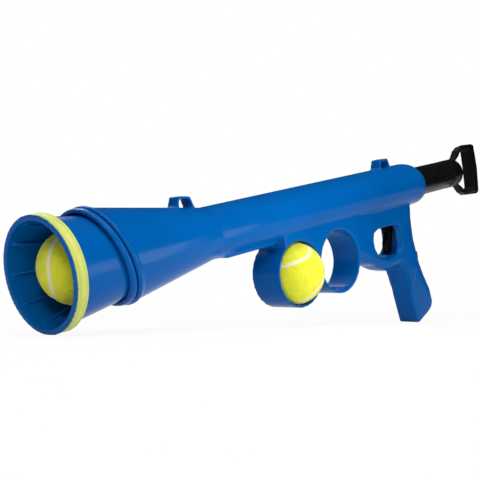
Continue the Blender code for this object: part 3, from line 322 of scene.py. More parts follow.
def moulded_plastic(name, dark, light, edge, gloss, peel, shine=0.06, parted=False):
    """Injection-moulded plastic: a slow drift of colour, paler edges, orange peel and rubbed gloss."""
    material, tree, shader = new_material(name)
    shader.inputs["Specular IOR Level"].default_value = shine
    drift = between(tree, object_noise(tree, 14, 3), 0, 1)
    colour = blend_colours(tree, drift, dark, light)
    colour = blend_colours(tree, between(tree, worn_edges(tree), 0, 0.35, 0, 1), colour, edge)
    if parted:
        line = between(tree, parting_line(tree), 0, 0.55, 0, 1)
        colour = blend_colours(tree, line, colour, PARTING_BLUE)
    tree.links.new(colour, shader.inputs["Base Color"])
    rubbed = object_noise(tree, 55, 5, (1, 1, 1), 0.65)
    tree.links.new(between(tree, rubbed, gloss, gloss + 0.1), shader.inputs["Roughness"])
    waves = bump(tree, object_noise(tree, 60, 2), 0.12, 0.4 * MM)
    fine = bump(tree, object_noise(tree, 900, 2), peel, 0.05 * MM, waves)
    tree.links.new(fine, shader.inputs["Normal"])
    return material


def soft_rubber(name, dark, light, roughness, grain):
    """Moulded rubber: matt, finely grained, with a little dust in the colour."""
    material, tree, shader = new_material(name)
    dust = between(tree, object_noise(tree, 70, 6, (1, 1, 1), 0.7), 0, 1)
    tree.links.new(blend_colours(tree, dust, dark, light), shader.inputs["Base Color"])
    tree.links.new(between(tree, dust, roughness, roughness + 0.12, 0, 1), shader.inputs["Roughness"])
    tree.links.new(bump(tree, object_noise(tree, 1400, 3), grain, 0.08 * MM), shader.inputs["Normal"])
    return material


def plated_steel(name, stretch):
    """Zinc-plated steel: drawn marks along one direction and a slightly blotched gloss."""
    material, tree, shader = new_material(name)
    blotch = between(tree, object_noise(tree, 220, 4), 0, 1)
    zinc = blend_colours(tree, blotch, (0.5, 0.5, 0.5), (0.62, 0.61, 0.59))
    tree.links.new(zinc, shader.inputs["Base Color"])
    shader.inputs["Metallic"].default_value = 1.0
    drawn = object_noise(tree, 900, 3, stretch)
    tree.links.new(between(tree, drawn, 0.2, 0.38), shader.inputs["Roughness"])
    tree.links.new(bump(tree, drawn, 0.15, 0.05 * MM), shader.inputs["Normal"])
    return material


BLUES = ((0.0, 0.089, 0.338), (0.0, 0.104, 0.38), (0.008, 0.15, 0.47))
blue_plastic = moulded_plastic("blue_plastic", *BLUES, gloss=0.13, peel=0.12)
body_plastic = moulded_plastic("body_plastic", *BLUES, gloss=0.13, peel=0.12, parted=True)
BLACKS = ((0.0025, 0.0025, 0.003), (0.0045, 0.0045, 0.005), (0.012, 0.012, 0.013))
black_plastic = moulded_plastic("black_plastic", *BLACKS, gloss=0.2, peel=0.08, shine=0.05)
band_rubber = soft_rubber("pale_yellow_rubber", (0.56, 0.61, 0.118), (0.64, 0.68, 0.15), 0.42, 0.15)
pad_rubber = soft_rubber("soft_black_rubber", (0.014, 0.014, 0.014), (0.03, 0.03, 0.029), 0.72, 0.3)
nylon = soft_rubber("white_nylon", (0.66, 0.66, 0.61), (0.75, 0.75, 0.71), 0.38, 0.1)
steel = plated_steel("zinc_steel", (1, 1, 1))
spring_steel = plated_steel("spring_steel", (0.2, 1, 1))

# %% [markdown]
# ## Body
#
# The two blue halves are one kind of moulding, so both go through the same steps. The parting line
# between them stays crisp, because the points near the true tube, cone and bead are put back. The
# numbers below repeat the CAD's, measured along the barrel.

# %% Body halves
TUBE_RADIUS = 24.7 * MM
CONE_END_X = 181.6 * MM
COLLAR_X = 57 * MM
COLLAR_RADIUS = 44.1 * MM
COLLAR_SLANT = 0.33
COLLAR_BOW = 3 * MM
BARREL_ROUND_X = 514 * MM
BARREL_END_X = 529 * MM
END_FACE_RADIUS = 20.6 * MM
END_SLANT = 0.24
RING_X = 289.8 * MM
RING_SPACING = 65.4 * MM
RING_Z = -59 * MM
RING_BORE = 31.8 * MM
RING_WALL = 2.2 * MM
CONE_SLOPE = (COLLAR_RADIUS - TUBE_RADIUS) / (CONE_END_X - COLLAR_X)
LIFT = CONE_SLOPE * COLLAR_SLANT * COLLAR_RADIUS

# The bead's profile before it is slanted, as places and radii
BEAD_PLACES = np.array((60.4, 60.7, 62.0, 63.3, 65.4, 71.4)) * MM
BEAD_RADII = np.array((42.95, 43.8, 44.24, 44.12, 43.3, 41.95)) * MM


def cone_radius(x):
    return TUBE_RADIUS + CONE_SLOPE * (CONE_END_X - x)


def smooth_barrel(points):
    """Puts the points near the bead, the cone, the tube and its round end back on them."""
    x, y, z = points.T
    flat_x = x + COLLAR_SLANT * z - COLLAR_BOW * (z / COLLAR_RADIUS) ** 2
    radius = np.hypot(y, z - LIFT)
    true = np.interp(flat_x, BEAD_PLACES, BEAD_RADII)
    on_bead = (flat_x > BEAD_PLACES[0]) & (flat_x < BEAD_PLACES[-2]) & (np.abs(radius - true) < 0.6 * MM)
    share = np.where(on_bead, true / np.maximum(radius, MM), 1)
    y, z = y * share, LIFT + (z - LIFT) * share

    radius = np.hypot(y, z)
    true = np.maximum(TUBE_RADIUS, cone_radius(x))
    straight = ~on_bead & (flat_x > BEAD_PLACES[-2]) & (x < BARREL_ROUND_X - 8 * MM)
    on_tube = straight & (np.abs(radius - true) < 0.3 * MM)
    share = np.where(on_tube, true / np.maximum(radius, MM), 1)
    y, z = y * share, z * share

    flat_x = x + END_SLANT * z
    turn = np.clip((flat_x - BARREL_ROUND_X) / (BARREL_END_X - BARREL_ROUND_X), 0, 1)
    true = END_FACE_RADIUS + (TUBE_RADIUS - END_FACE_RADIUS) * np.sqrt(1 - turn**2)
    radius = np.hypot(y, z)
    on_end = (turn > 0) & (turn < 0.97) & (np.abs(radius - true) < 0.5 * MM)
    share = np.where(on_end, true / np.maximum(radius, MM), 1)
    return np.stack((x, y * share, z * share), axis=1)


def smooth_rings(points):
    """Puts the points near the two ball rings back on their round walls."""
    for x in (RING_X, RING_X + RING_SPACING):
        for radius in (RING_BORE, RING_BORE + RING_WALL):
            points = onto_circle(points, (x, RING_Z), radius, 0.25 * MM, axes=(0, 2))
    return points


# The wedge on the grip, as places along and across the barrel in millimetres
GRIP_SIDE = 11.5 * MM
GRIP_SIDE_END = 16 * MM
WEDGE_START_Z = -78 * MM
WEDGE_TOP = ((475, -84), (506, -90))
WEDGE_TIP = (484.2, -119)
WEDGE_EDGE = 1.5 * MM
WEDGE_FADE = 6
WEDGE_RISE = 1.5 * MM


def raise_wedges(points):
    """The tapered wedge that runs from the housing down each side of the grip."""
    x, y, z = points.T
    (left_x, left_z), (right_x, _) = WEDGE_TOP
    tip_x, tip_z = WEDGE_TIP
    down = np.clip((left_z * MM - z) / ((left_z - tip_z) * MM), 0, 1)
    left = (left_x + (tip_x - left_x) * down) * MM
    right = (right_x + (tip_x - right_x) * down) * MM
    inside = np.clip(np.minimum(x - left, right - x) / WEDGE_EDGE, 0, 1)
    on_side = (np.abs(y) > GRIP_SIDE) & (np.abs(y) < GRIP_SIDE_END)
    on_side &= (z < WEDGE_START_Z) & (z > tip_z * MM)
    rise = np.sign(y) * inside * WEDGE_RISE * np.clip((z / MM - tip_z) / WEDGE_FADE, 0, 1)
    points[:, 1] += np.where(on_side, rise, 0)
    return points


def both_halves():
    """The two CAD halves as one closed skin, pushed together at the parting line."""
    bm = bmesh.new()
    for node in ("body_shell_left", "body_shell_right"):
        half = merged_copy(node)
        for vert in half.vertices:
            if abs(vert.co.y) < 0.2 * MM:
                vert.co.y *= -0.4
        bm.from_mesh(half)
    mesh = bpy.data.meshes.new("body")
    bm.to_mesh(mesh)
    bm.free()
    return mesh


BODY_VOXEL = 1.25 * MM
PALM_START_X = 395 * MM
PALM_TOP_Z = -60 * MM

body = link("body", both_halves())
skin = body.modifiers.new("Skin", "REMESH")
skin.mode = "VOXEL"
skin.voxel_size = BODY_VOXEL
flatten_modifiers(body)
points = points_of(body.data, INTO_BARREL)
handled = (points[:, 0] > PALM_START_X) & (points[:, 2] < PALM_TOP_Z)
palm = body.vertex_groups.new(name="palm")
palm.add([int(i) for i in np.nonzero(handled)[0]], 1.0, "REPLACE")
for name, rounds, group in (("Soften", 4, ""), ("Round the grip", 12, "palm")):
    soften = body.modifiers.new(name, "SMOOTH")
    soften.factor = 0.5
    soften.iterations = rounds
    soften.vertex_group = group
flatten_modifiers(body)
points = points_of(body.data, INTO_BARREL)
points = raise_wedges(smooth_rings(smooth_barrel(points)))
put_points(body.data, points, BARREL)
body.data.shade_smooth()
print("body faces", len(body.data.polygons))

# %% [markdown]
# The finished skin is cut along the middle into the two halves that are really moulded. Each cut face
# is filled, so both halves stay closed bodies, and sharp edges along the cut keep the shading clean.

# %% Cut the body in two
for name, node, side in (("body_left", "body_shell_left", -1), ("body_right", "body_shell_right", 1)):
    bm = bmesh.new()
    bm.from_mesh(body.data)
    everything = list(bm.verts) + list(bm.edges) + list(bm.faces)
    facing = (0, -side, 0)
    bmesh.ops.bisect_plane(
        bm, geom=everything, dist=0.001 * MM, plane_co=(0, 0, 0), plane_no=facing, clear_outer=True
    )
    rim = [edge for edge in bm.edges if edge.is_boundary]
    bmesh.ops.triangle_fill(bm, edges=rim, use_beauty=False, normal=facing)
    bmesh.ops.recalc_face_normals(bm, faces=bm.faces)
    for edge in bm.edges:
        edge.smooth = edge.calc_face_angle(0) < math.radians(60)
    mesh = bpy.data.meshes.new(name)
    bm.to_mesh(mesh)
    open_edges = sum(1 for edge in bm.edges if not edge.is_manifold)
    bm.free()
    piece = link(name, mesh)
    mesh.materials.append(body_plastic)
    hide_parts(node)
    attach(piece, "root")
    print(name, "faces", len(mesh.polygons), "open edges", open_edges)
bpy.data.objects.remove(body)

# %% [markdown]
# ## Nozzle and collar
#
# The nozzle is a thin flared cup with ten ribs inside. Its skin is rebuilt on a finer grid, so that the
# ribs keep their shape. The collar's skin is rebuilt on a fine grid too.

# %% Nozzle and collar
SHOULDER_X = 12.4 * MM
BAND_END_X = 11.8 * MM
RIB_SEAT_X = 62 * MM
NOZZLE_SHOULDER_RADIUS = 43.884 * MM
NOZZLE_SEAT_RADIUS = 37.244 * MM
NOZZLE_WALL = 2.3 * MM
NOZZLE_SLOPE = (NOZZLE_SHOULDER_RADIUS - NOZZLE_SEAT_RADIUS) / (RIB_SEAT_X - BAND_END_X)

nozzle = moulded("nozzle_cup", "nozzle", 0.9 * MM, 2)
points = points_of(nozzle.data, INTO_BARREL)
true = NOZZLE_SHOULDER_RADIUS - NOZZLE_SLOPE * (points[:, 0] - BAND_END_X)
radius = np.hypot(points[:, 1], points[:, 2])
behind = points[:, 0] > SHOULDER_X + MM
for depth in (0, NOZZLE_WALL):
    near = behind & (np.abs(radius - true + depth) < 0.2 * MM)
    share = np.where(near, (true - depth) / np.maximum(radius, MM), 1)
    points[:, 1] *= share
    points[:, 2] *= share
put_points(nozzle.data, points, BARREL)
nozzle.data.materials.append(blue_plastic)
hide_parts("nozzle")
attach(nozzle, "root")

collar = moulded("collar", "collar_ring", 0.8 * MM, 3)
collar.data.materials.append(blue_plastic)
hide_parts("collar_ring")
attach(collar, "root")

# %% [markdown]
# ## Band
#
# The pale yellow band is a rubber ring with a raised bead along each edge. It follows a rule: one
# section carried round a circle. A node tree does that for the flat part and for both beads.

# %% Band
BAND_START_X = 1.6 * MM
BAND_RADIUS = 47.5 * MM
BAND_THICKNESS = 1.9 * MM


def band_tree(material):
    inputs = {
        "Radius": ("Float", BAND_RADIUS),
        "Width": ("Float", 10 * MM),
        "Thickness": ("Float", BAND_THICKNESS),
        "Bead": ("Float", 0.9 * MM),
        "Steps": ("Int", 192),
    }
    tree, start, end = new_tree("band", inputs)
    given = start.outputs

    def maths(operation, first, second):
        node = wire(tree, "ShaderNodeMath", {"operation": operation})
        for socket, source in zip(node.inputs, (first, second)):
            if isinstance(source, bpy.types.NodeSocket):
                tree.links.new(source, socket)
            else:
                socket.default_value = source
        return node.outputs["Value"]

    def ring(radius, profile, height):
        circle = wire(tree, "GeometryNodeCurvePrimitiveCircle", Radius=radius, Resolution=given["Steps"])
        path = circle.outputs["Curve"]
        swept = wire(tree, "GeometryNodeCurveToMesh", Curve=path, Profile_Curve=profile)
        lift = wire(tree, "ShaderNodeCombineXYZ", Z=height).outputs["Vector"]
        moved = wire(tree, "GeometryNodeTransform", Geometry=swept.outputs["Mesh"], Translation=lift)
        return moved.outputs["Geometry"]

    core = wire(tree, "GeometryNodeCurvePrimitiveQuadrilateral")
    recess = maths("MULTIPLY", given["Bead"], 0.35)
    tree.links.new(maths("SUBTRACT", given["Thickness"], recess), core.inputs["Width"])
    tree.links.new(maths("SUBTRACT", given["Width"], given["Bead"]), core.inputs["Height"])
    middle_radius = maths("SUBTRACT", given["Radius"], maths("MULTIPLY", given["Thickness"], 0.5))
    inner_radius = maths("SUBTRACT", middle_radius, maths("MULTIPLY", recess, 0.5))
    half = maths("MULTIPLY", given["Width"], 0.5)
    parts = [ring(inner_radius, core.outputs["Curve"], half)]
    bead_radius = maths("SUBTRACT", given["Radius"], given["Bead"])
    round_bead = wire(tree, "GeometryNodeCurvePrimitiveCircle", Radius=given["Bead"], Resolution=16)
    for place in (given["Bead"], maths("SUBTRACT", given["Width"], given["Bead"])):
        parts.append(ring(bead_radius, round_bead.outputs["Curve"], place))
    joined = tree.nodes.new("GeometryNodeJoinGeometry")
    for part in parts:
        tree.links.new(part, joined.inputs["Geometry"])
    soft = wire(tree, "GeometryNodeSetShadeSmooth", Geometry=joined.outputs["Geometry"])
    close_tree(tree, soft.outputs["Geometry"], end, material)
    return tree


band = grown("band", band_tree(band_rubber), Width=BAND_END_X - BAND_START_X, Radius=BAND_RADIUS)
lay_along_barrel(band.data, BAND_START_X)
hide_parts("nozzle_band")
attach(band, "root")

# %% [markdown]
# ## Balls
#
# A tennis ball is a rubber core under two felt panels. The groove between them follows one closed
# curve, which has a simple formula. Each ball is a fine sphere: points near the curve sink and are
# marked with an attribute, which the material turns into the pale seam. A node tree grows short fibres
# on the felt, with a fixed seed. A seed only gives the same fibres each time on faces in the same order,
# which Blender's own sphere doesn't keep, so the sphere is listed face by face here.

# %% Felt material
def felt_material():
    material, tree, shader = new_material("yellow_felt")
    cloud = between(tree, object_noise(tree, 120, 5, (1, 1, 1), 0.65), 0, 1)
    felt = blend_colours(tree, cloud, (0.66, 0.68, 0.014), (0.79, 0.77, 0.055))
    speck = between(tree, object_noise(tree, 700, 4, (1, 1, 1), 0.7), 0, 0.35, 0.45, 0.75)
    felt = blend_colours(tree, speck, felt, (0.64, 0.7, 0.006))
    mark = wire(tree, "ShaderNodeAttribute", {"attribute_name": "seam"})
    dusty = blend_colours(tree, speck, (0.78, 0.75, 0.5), (0.66, 0.66, 0.36))
    colour = blend_colours(tree, mark.outputs["Fac"], felt, dusty)
    tree.links.new(colour, shader.inputs["Base Color"])
    shader.inputs["Roughness"].default_value = 0.95
    shader.inputs["Specular IOR Level"].default_value = 0.15
    shader.inputs["Sheen Weight"].default_value = 0.2
    shader.inputs["Sheen Roughness"].default_value = 0.5
    nap = bump(tree, object_noise(tree, 520, 5, (1, 1, 1), 0.75), 0.55, 0.5 * MM)
    tree.links.new(nap, shader.inputs["Normal"])
    return material


felt = felt_material()

# %% Balls and their fibres
BALL_RADIUS = 31.5 * MM
SEAM_HALF_WIDTH = 1.9 * MM
FELT_DROP = 0.5 * MM
FIBRE_LENGTH = 1.1 * MM


def seam_points(steps=720):
    """The seam of a tennis ball, on a sphere of radius 1."""
    turn = np.linspace(0, 2 * math.pi, steps, endpoint=False)
    wide, narrow = 0.75, 0.25
    curve = np.stack(
        (
            wide * np.cos(turn) + narrow * np.cos(3 * turn),
            wide * np.sin(turn) - narrow * np.sin(3 * turn),
            2 * math.sqrt(wide * narrow) * np.sin(2 * turn),
        ),
        axis=1,
    )
    return curve / np.linalg.norm(curve, axis=1)[:, None]


def fibre_tree(material):
    inputs = {
        "Density": ("Float", 900000.0),
        "Length": ("Float", FIBRE_LENGTH),
        "Thickness": ("Float", 0.07 * MM),
        "Seed": ("Int", 7),
    }
    tree, start, end = new_tree("felt_fibres", inputs)
    given = start.outputs
    seam = wire(tree, "GeometryNodeInputNamedAttribute", {"data_type": "FLOAT"}, Name="seam")
    off_seam = wire(tree, "ShaderNodeMath", {"operation": "LESS_THAN"})
    tree.links.new(seam.outputs["Attribute"], off_seam.inputs[0])
    off_seam.inputs[1].default_value = 0.3
    spots = wire(
        tree,
        "GeometryNodeDistributePointsOnFaces",
        Mesh=given["Geometry"],
        Selection=off_seam.outputs["Value"],
        Density=given["Density"],
        Seed=given["Seed"],
    )
    fibre = wire(
        tree,
        "GeometryNodeMeshCone",
        {"fill_type": "NONE"},
        Vertices=3,
        Radius_Bottom=given["Thickness"],
        Radius_Top=0.0,
        Depth=given["Length"],
    )
    lean = wire(tree, "FunctionNodeRandomValue", {"data_type": "FLOAT_VECTOR"}, Seed=given["Seed"])
    lean.inputs["Min"].default_value = (-1.1, -1.1, -3.1)
    lean.inputs["Max"].default_value = (1.1, 1.1, 3.1)
    size = wire(tree, "FunctionNodeRandomValue", {"data_type": "FLOAT"}, Seed=given["Seed"])
    for socket, value in zip([s for s in size.inputs if s.type == "VALUE"], (0.5, 1.0)):
        socket.default_value = value
    turned = wire(
        tree,
        "FunctionNodeRotateRotation",
        {"rotation_space": "LOCAL"},
        Rotation=spots.outputs["Rotation"],
        Rotate_By=lean.outputs["Value"],
    )
    placed = wire(
        tree,
        "GeometryNodeInstanceOnPoints",
        Points=spots.outputs["Points"],
        Instance=fibre.outputs["Mesh"],
        Rotation=turned.outputs["Rotation"],
        Scale=[s for s in size.outputs if s.type == "VALUE"][0],
    )
    both = tree.nodes.new("GeometryNodeJoinGeometry")
    tree.links.new(placed.outputs["Instances"], both.inputs["Geometry"])
    tree.links.new(given["Geometry"], both.inputs["Geometry"])
    close_tree(tree, both.outputs["Geometry"], end, material)
    return tree


FIBRES = fibre_tree(felt)


def unit_sphere(rings, segments):
    """Points, edges and faces of a closed sphere of radius 1, always in the same order."""
    points = [(0, 0, 1)]
    for i in range(1, rings):
        tilt = math.pi * i / rings
        for k in range(segments):
            turn = 2 * math.pi * k / segments
            points.append((math.sin(tilt) * math.cos(turn), math.sin(tilt) * math.sin(turn), math.cos(tilt)))
    points.append((0, 0, -1))
    foot = len(points) - 1
    faces = []
    for k in range(segments):
        j = (k + 1) % segments
        faces.append((0, 1 + k, 1 + j))
        for upper in range(1, foot - segments, segments):
            lower = upper + segments
            faces.append((upper + k, lower + k, lower + j, upper + j))
        faces.append((foot, foot - segments + j, foot - segments + k))
    return points, [], faces


def make_ball(name, node, body, turn):
    mesh = bpy.data.meshes.new(name)
    mesh.from_pydata(*unit_sphere(80, 160))
    mesh.shade_smooth()
    unit = points_of(mesh, Matrix.Identity(4))
    unit /= np.linalg.norm(unit, axis=1)[:, None]
    gap = np.arccos(np.clip((unit @ seam_points().T).max(axis=1), -1, 1)) * BALL_RADIUS
    edge = np.clip((SEAM_HALF_WIDTH + 0.4 * MM - gap) / (0.8 * MM), 0, 1)
    marks = mesh.attributes.new("seam", "FLOAT", "POINT")
    marks.data.foreach_set("value", edge.astype(np.float32))
    lumps = np.array([noise.noise(Vector(spot * 9)) for spot in unit]) * 0.12 * MM
    skin = BALL_RADIUS - FIBRE_LENGTH * 0.35 - FELT_DROP * edge + lumps
    centre = INTO_BARREL @ middle_of(node)
    place = BARREL @ Matrix.Translation(centre) @ turn.to_matrix().to_4x4()
    put_points(mesh, unit * skin[:, None], place)
    ball = grown(name, FIBRES, mesh, Length=FIBRE_LENGTH)
    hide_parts(node)
    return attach(ball, body)


def turned_by(x, y, z):
    """A turn about the vector (x, y, z), whose length is the angle."""
    vector = Vector((x, y, z))
    return Quaternion(vector.normalized(), vector.length)


make_ball("ball_in_nozzle", "launch_ball", "launch_ball", turned_by(3.078, 0.309, -0.468))
make_ball("ball_in_ring", "spare_ball", "spare_ball", turned_by(0.631, 1.337, -1.375))

# %% [markdown]
# ## Plunger, handle and trigger
#
# The black tube is turned with many sides, because its long highlight would show the CAD's flats. The
# handle and the trigger are mouldings, so they get the same treatment as the body on a finer grid.

# %% Plunger tube
ROD_RADIUS = 17 * MM
ROD_INNER = 13.5 * MM
ROD_START_X = 80.7 * MM
ROD_END_X = 605 * MM
ROD_EDGE = 0.6 * MM
CATCH_X = 328 * MM
CATCH_LENGTH = 8 * MM
CATCH_DEPTH = 2.2 * MM

rod = lathe(
    "plunger_rod",
    [
        (ROD_END_X, ROD_INNER),
        (ROD_END_X, ROD_RADIUS - ROD_EDGE),
        (ROD_END_X - ROD_EDGE, ROD_RADIUS),
        (CATCH_X + CATCH_LENGTH, ROD_RADIUS),
        (CATCH_X + CATCH_LENGTH, ROD_RADIUS - CATCH_DEPTH),
        (CATCH_X, ROD_RADIUS - CATCH_DEPTH),
        (CATCH_X, ROD_RADIUS),
        (ROD_START_X, ROD_RADIUS),
        (ROD_START_X, ROD_INNER),
    ],
    128,
)
rod.data.set_sharp_from_angle(angle=math.radians(50))
rod.data.materials.append(black_plastic)
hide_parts("plunger_tube")
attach(rod, "plunger")

# %% Handle and trigger
HUB_END_X = 624 * MM
HUB_RADIUS = 17.2 * MM

for name, node, body, voxel in (
    ("handle", "pull_handle", "plunger", 0.6 * MM),
    ("trigger_blade", "trigger", "trigger", 0.4 * MM),
):
    piece = moulded(name, node, voxel, 4)
    if node == "pull_handle":
        points = points_of(piece.data, INTO_BARREL)
        hub = points[:, 0] < HUB_END_X
        points[hub] = onto_circle(points[hub], (0, 0), HUB_RADIUS, 0.3 * MM)
        put_points(piece.data, points, BARREL)
    piece.data.materials.append(black_plastic)
    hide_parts(node)
    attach(piece, body)

# %% [markdown]
# ## Screws
#
# Six self-tapping screws hold the halves together from the far side. One screw with a cross recess is
# modelled once, and a node tree puts a copy on each of six points.

# %% Screws
SCREW_HEAD_RADIUS = 3 * MM
SCREW_HEAD_LENGTH = 2 * MM
SCREW_RADIUS = 1.5 * MM
SCREW_LENGTH = 19 * MM
SLOT_SIZE = (3.4 * MM, 2.4 * MM, 0.75 * MM)
SCREW_NODES = [name for name in frame["nodes"] if name.startswith("shell_screw")]


def screw_shape():
    """One screw along +Y, its head's top at the origin."""
    bm = bmesh.new()
    outline = [
        (0, 0),
        (SCREW_HEAD_RADIUS * 0.7, 0),
        (SCREW_HEAD_RADIUS * 0.95, -0.4 * MM),
        (SCREW_HEAD_RADIUS, -0.9 * MM),
        (SCREW_HEAD_RADIUS, -SCREW_HEAD_LENGTH),
        (SCREW_RADIUS, -SCREW_HEAD_LENGTH),
        (SCREW_RADIUS, -SCREW_LENGTH + 2 * MM),
        (0, -SCREW_LENGTH),
    ]
    spots = [bm.verts.new((radius, y, 0)) for radius, y in outline]
    edges = [bm.edges.new(pair) for pair in zip(spots, spots[1:])]
    full_turn = {"cent": (0, 0, 0), "axis": (0, 1, 0), "angle": 2 * math.pi}
    bmesh.ops.spin(bm, geom=spots + edges, steps=32, use_merge=True, **full_turn)
    bmesh.ops.remove_doubles(bm, verts=bm.verts, dist=0.005 * MM)
    bmesh.ops.recalc_face_normals(bm, faces=bm.faces)
    mesh = bpy.data.meshes.new("screw")
    bm.to_mesh(mesh)
    bm.free()
    screw = link("screw", mesh)
    for turn in (0, math.pi / 2):
        bm = bmesh.new()
        bmesh.ops.create_cube(bm, size=1)
        bmesh.ops.scale(bm, vec=SLOT_SIZE, verts=bm.verts)
        bmesh.ops.rotate(bm, cent=(0, 0, 0), matrix=Matrix.Rotation(turn, 3, "Y"), verts=bm.verts)
        slot_mesh = bpy.data.meshes.new("slot")
        bm.to_mesh(slot_mesh)
        bm.free()
        cutter = link("slot", slot_mesh)
        cut = screw.modifiers.new("Slot", "BOOLEAN")
        cut.object = cutter
        bpy.context.view_layer.update()
        flatten_modifiers(screw)
        bpy.data.objects.remove(cutter)
    return screw


def screw_tree(material):
    inputs = {"Screw": ("Object", None), "Seed": ("Int", 3)}
    tree, start, end = new_tree("screws", inputs)
    given = start.outputs
    shape = wire(tree, "GeometryNodeObjectInfo", Object=given["Screw"])
    spots = wire(tree, "GeometryNodeMeshToPoints", Mesh=given["Geometry"])
    turn = wire(tree, "FunctionNodeRandomValue", {"data_type": "FLOAT_VECTOR"}, Seed=given["Seed"])
    turn.inputs["Min"].default_value = (0, 0, 0)
    turn.inputs["Max"].default_value = (0, 1.5, 0)
    placed = wire(
        tree,
        "GeometryNodeInstanceOnPoints",
        Points=spots.outputs["Points"],
        Instance=shape.outputs["Geometry"],
        Rotation=turn.outputs["Value"],
    )
    close_tree(tree, placed.outputs["Instances"], end, material)
    return tree


head_tops = []
for node in SCREW_NODES:
    low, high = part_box(node)
    head_tops.append(((low.x + high.x) / 2, high.y, (low.z + high.z) / 2))
spots = bpy.data.meshes.new("screw_places")
spots.from_pydata(head_tops, [], [])
screw = screw_shape()
screws = grown("shell_screws", screw_tree(steel), spots, Screw=screw)
bpy.data.objects.remove(screw)
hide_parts(*SCREW_NODES)
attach(screws, "root")

# %% [markdown]
# ## Main spring
#
# A compression spring is a spiral of wire. A node tree sweeps a small circle along a spiral. In the
# real launcher the spring shortens as the plunger is pulled back, towards the seat behind it.

# %% Main spring
SPRING_START_X = 214.4 * MM
SPRING_END_X = 421.4 * MM
SPRING_RADIUS = 19.75 * MM
SPRING_WIRE = 1 * MM


def spring_tree(material):
    inputs = {
        "Turns": ("Float", 13.0),
        "Radius": ("Float", SPRING_RADIUS),
        "Length": ("Float", SPRING_END_X - SPRING_START_X),
        "Wire": ("Float", SPRING_WIRE),
    }
    tree, start, end = new_tree("main_spring", inputs)
    given = start.outputs
    spiral = wire(
        tree,
        "GeometryNodeCurveSpiral",
        Resolution=24,
        Rotations=given["Turns"],
        Start_Radius=given["Radius"],
        End_Radius=given["Radius"],
        Height=given["Length"],
    )
    section = wire(tree, "GeometryNodeCurvePrimitiveCircle", Radius=given["Wire"], Resolution=10)
    swept = wire(
        tree,
        "GeometryNodeCurveToMesh",
        Curve=spiral.outputs["Curve"],
        Profile_Curve=section.outputs["Curve"],
        Fill_Caps=True,
    )
    close_tree(tree, swept.outputs["Mesh"], end, material)
    return tree


spring = grown("plunger_spring", spring_tree(spring_steel), Wire=SPRING_WIRE)
lay_along_barrel(spring.data, SPRING_START_X)
spring.data.shade_smooth()
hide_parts("main_spring")
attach(spring, "root")
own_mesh(spring)

# %% [markdown]
# ## Inner pieces
#
# The guides, pads, pins and the sear keep their CAD shapes and get real finishes.

# %% Inner pieces
FINISHES = {
    "striker_pad": pad_rubber,
    "front_bumper": pad_rubber,
    "striker_cap": black_plastic,
    "spring_collar": black_plastic,
    "front_guide": nylon,
    "rear_bush": nylon,
    "spring_seat": steel,
    "handle_pin": steel,
    "trigger_pin": steel,
    "trigger_spring": spring_steel,
    "sear": steel,
    "sear_pin": steel,
}
for node, finish in FINISHES.items():
    slots = frame["nodes"][node].material_slots
    for slot in slots:
        slot.material = finish
    if not slots:
        frame["nodes"][node].data.materials.append(finish)

# %% [markdown]
# ## Camera
#
# The camera stands where the photograph was taken: in front and to one side, a little below the
# barrel's middle, and rolled a few degrees. Its place was worked out along the barrel.

# %% Camera
LENS = 69.03
SENSOR = 36
camera_data = bpy.data.cameras.new("camera")
camera_data.lens = LENS
camera_data.sensor_width = SENSOR
camera_data.clip_end = 50
camera = bpy.data.objects.new("camera", camera_data)
bpy.context.scene.collection.objects.link(camera)
yaw, pitch, roll = (math.radians(angle) for angle in (46.22, 6.26, -8.4))
target = Vector((227.88, 0, -13.6)) * MM
distance = 873.64 * MM
back = Vector((-math.sin(yaw) * math.cos(pitch), -math.cos(yaw) * math.cos(pitch), math.sin(pitch)))
level = Vector((0, 0, 1)).cross(back).normalized()
above = back.cross(level)
right = level * math.cos(roll) + above * math.sin(roll)
top = above * math.cos(roll) - level * math.sin(roll)
stand = Matrix((right, top, back)).transposed().to_4x4()
stand.translation = target + back * distance
camera.matrix_world = BARREL @ stand
bpy.context.scene.camera = camera
print("camera", [round(value, 3) for value in camera.matrix_world.translation])

# %% [markdown]
# ## Studio
#
# A white floor and a white room, with large soft lights. In such a room glossy plastic looks milky, so a
# photographer hangs a black cloth, a flag, where the barrel would mirror the room. One hangs behind the
# handle and one in front of the mouth, both outside the picture. The lower side of the barrel still
# mirrors the white floor.

# %% Floor and room
SHADOW_SHARE = 0.92
SHADOW_FADE = (0.5, 1.1)
FLOOR_REACH = 6
FLAG_X = 2.4
FLAG_REACH = 4.5
FILL_LEVEL = 0.5


def seen_directly(tree):
    """1 for the camera's rays and for those that plastic, metal or glass passes on."""
    path = tree.nodes.new("ShaderNodeLightPath")
    total = path.outputs["Is Camera Ray"]
    for kind in ("Is Glossy Ray", "Is Transmission Ray"):
        either = wire(tree, "ShaderNodeMath", {"operation": "MAXIMUM"})
        tree.links.new(total, either.inputs[0])
        tree.links.new(path.outputs[kind], either.inputs[1])
        total = either.outputs["Value"]
    return total


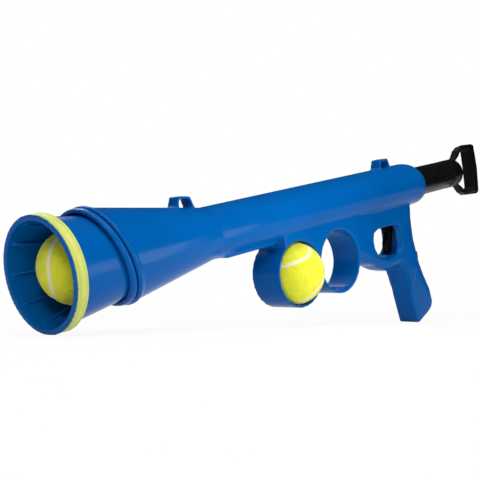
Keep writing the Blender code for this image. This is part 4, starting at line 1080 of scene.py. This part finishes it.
def pale_floor():
    material, tree, shader = new_material("floor")
    speckle = between(tree, object_noise(tree, 30, 3), 0, 1)
    paint = blend_colours(tree, speckle, (0.9, 0.9, 0.9), (0.93, 0.93, 0.93))
    tree.links.new(paint, shader.inputs["Base Color"])
    shader.inputs["Roughness"].default_value = 0.9
    shader.inputs["Specular IOR Level"].default_value = 0.0
    white = wire(tree, "ShaderNodeEmission", Color=(1, 1, 1, 1), Strength=1.0)
    place = tree.nodes.new("ShaderNodeTexCoord")
    reach = wire(tree, "ShaderNodeVectorMath", {"operation": "LENGTH"})
    tree.links.new(place.outputs["Object"], reach.inputs[0])
    fade = between(tree, reach.outputs["Value"], SHADOW_SHARE, 1, *SHADOW_FADE)
    share = wire(tree, "ShaderNodeMath", {"operation": "MULTIPLY"})
    tree.links.new(seen_directly(tree), share.inputs[0])
    tree.links.new(fade, share.inputs[1])
    mix = wire(tree, "ShaderNodeMixShader")
    tree.links.new(share.outputs["Value"], mix.inputs["Fac"])
    tree.links.new(shader.outputs["BSDF"], mix.inputs[1])
    tree.links.new(white.outputs["Emission"], mix.inputs[2])
    tree.links.new(mix.outputs["Shader"], tree.nodes["Material Output"].inputs["Surface"])
    return material


def sheet(name, corners, material):
    """A flat rectangle of the studio."""
    mesh = bpy.data.meshes.new(name)
    mesh.from_pydata(corners, [], [(0, 1, 2, 3)])
    mesh.materials.append(material)
    piece = link(name, mesh)
    return piece


square = ((-1, -1), (1, -1), (1, 1), (-1, 1))
sheet("floor", [(x * FLOOR_REACH, y * FLOOR_REACH, -0.2 * MM) for x, y in square], pale_floor())
flag_cloth = soft_rubber("black_cloth", (0.01, 0.01, 0.01), (0.02, 0.02, 0.02), 0.9, 0.1)
for name, x in (("rear_flag", FLAG_X), ("front_flag", -FLAG_X)):
    corners = [(x, y * FLAG_REACH, FLAG_REACH * (0.5 + z * 0.5)) for y, z in square]
    flag = sheet(name, corners, flag_cloth)
    flag.visible_camera = False

world = bpy.data.worlds.new("room")
bpy.context.scene.world = world
world.use_nodes = True
room = world.node_tree
sky = room.nodes["Background"]
sky.inputs["Color"].default_value = (1, 1, 1, 1)
room.links.new(between(room, seen_directly(room), FILL_LEVEL, 1, 0, 1), sky.inputs["Strength"])


# %% Lights
def soft_light(name, spot, aim, size, power):
    data = bpy.data.lights.new(name, "AREA")
    data.shape = "RECTANGLE"
    data.size, data.size_y = size
    data.energy = power
    lamp = bpy.data.objects.new(name, data)
    bpy.context.scene.collection.objects.link(lamp)
    lamp.location = spot
    lamp.rotation_euler = (Vector(aim) - Vector(spot)).to_track_quat("-Z", "Y").to_euler()


MIDDLE = (0, 0, 0.1)
soft_light("overhead", (-0.3, -0.45, 1.6), MIDDLE, (1.6, 1.0), 16)
soft_light("camera_side", (-1.2, -1.0, 1.0), MIDDLE, (0.5, 0.4), 8)
soft_light("right_side", (0.5, -1.3, 0.5), (0.15, 0, 0.08), (0.5, 0.5), 3)
soft_light("side_panel", (-0.01, -0.25, 0.075), (-0.3, -0.04, 0.045), (0.2, 0.1), 0.3)
soft_light("rear", (0.5, 1.6, 1.5), MIDDLE, (0.9, 0.7), 8)

# %% [markdown]
# ## Finish
#
# Standard colour.

# %% Finish
bpy.context.scene.view_settings.view_transform = "Standard"
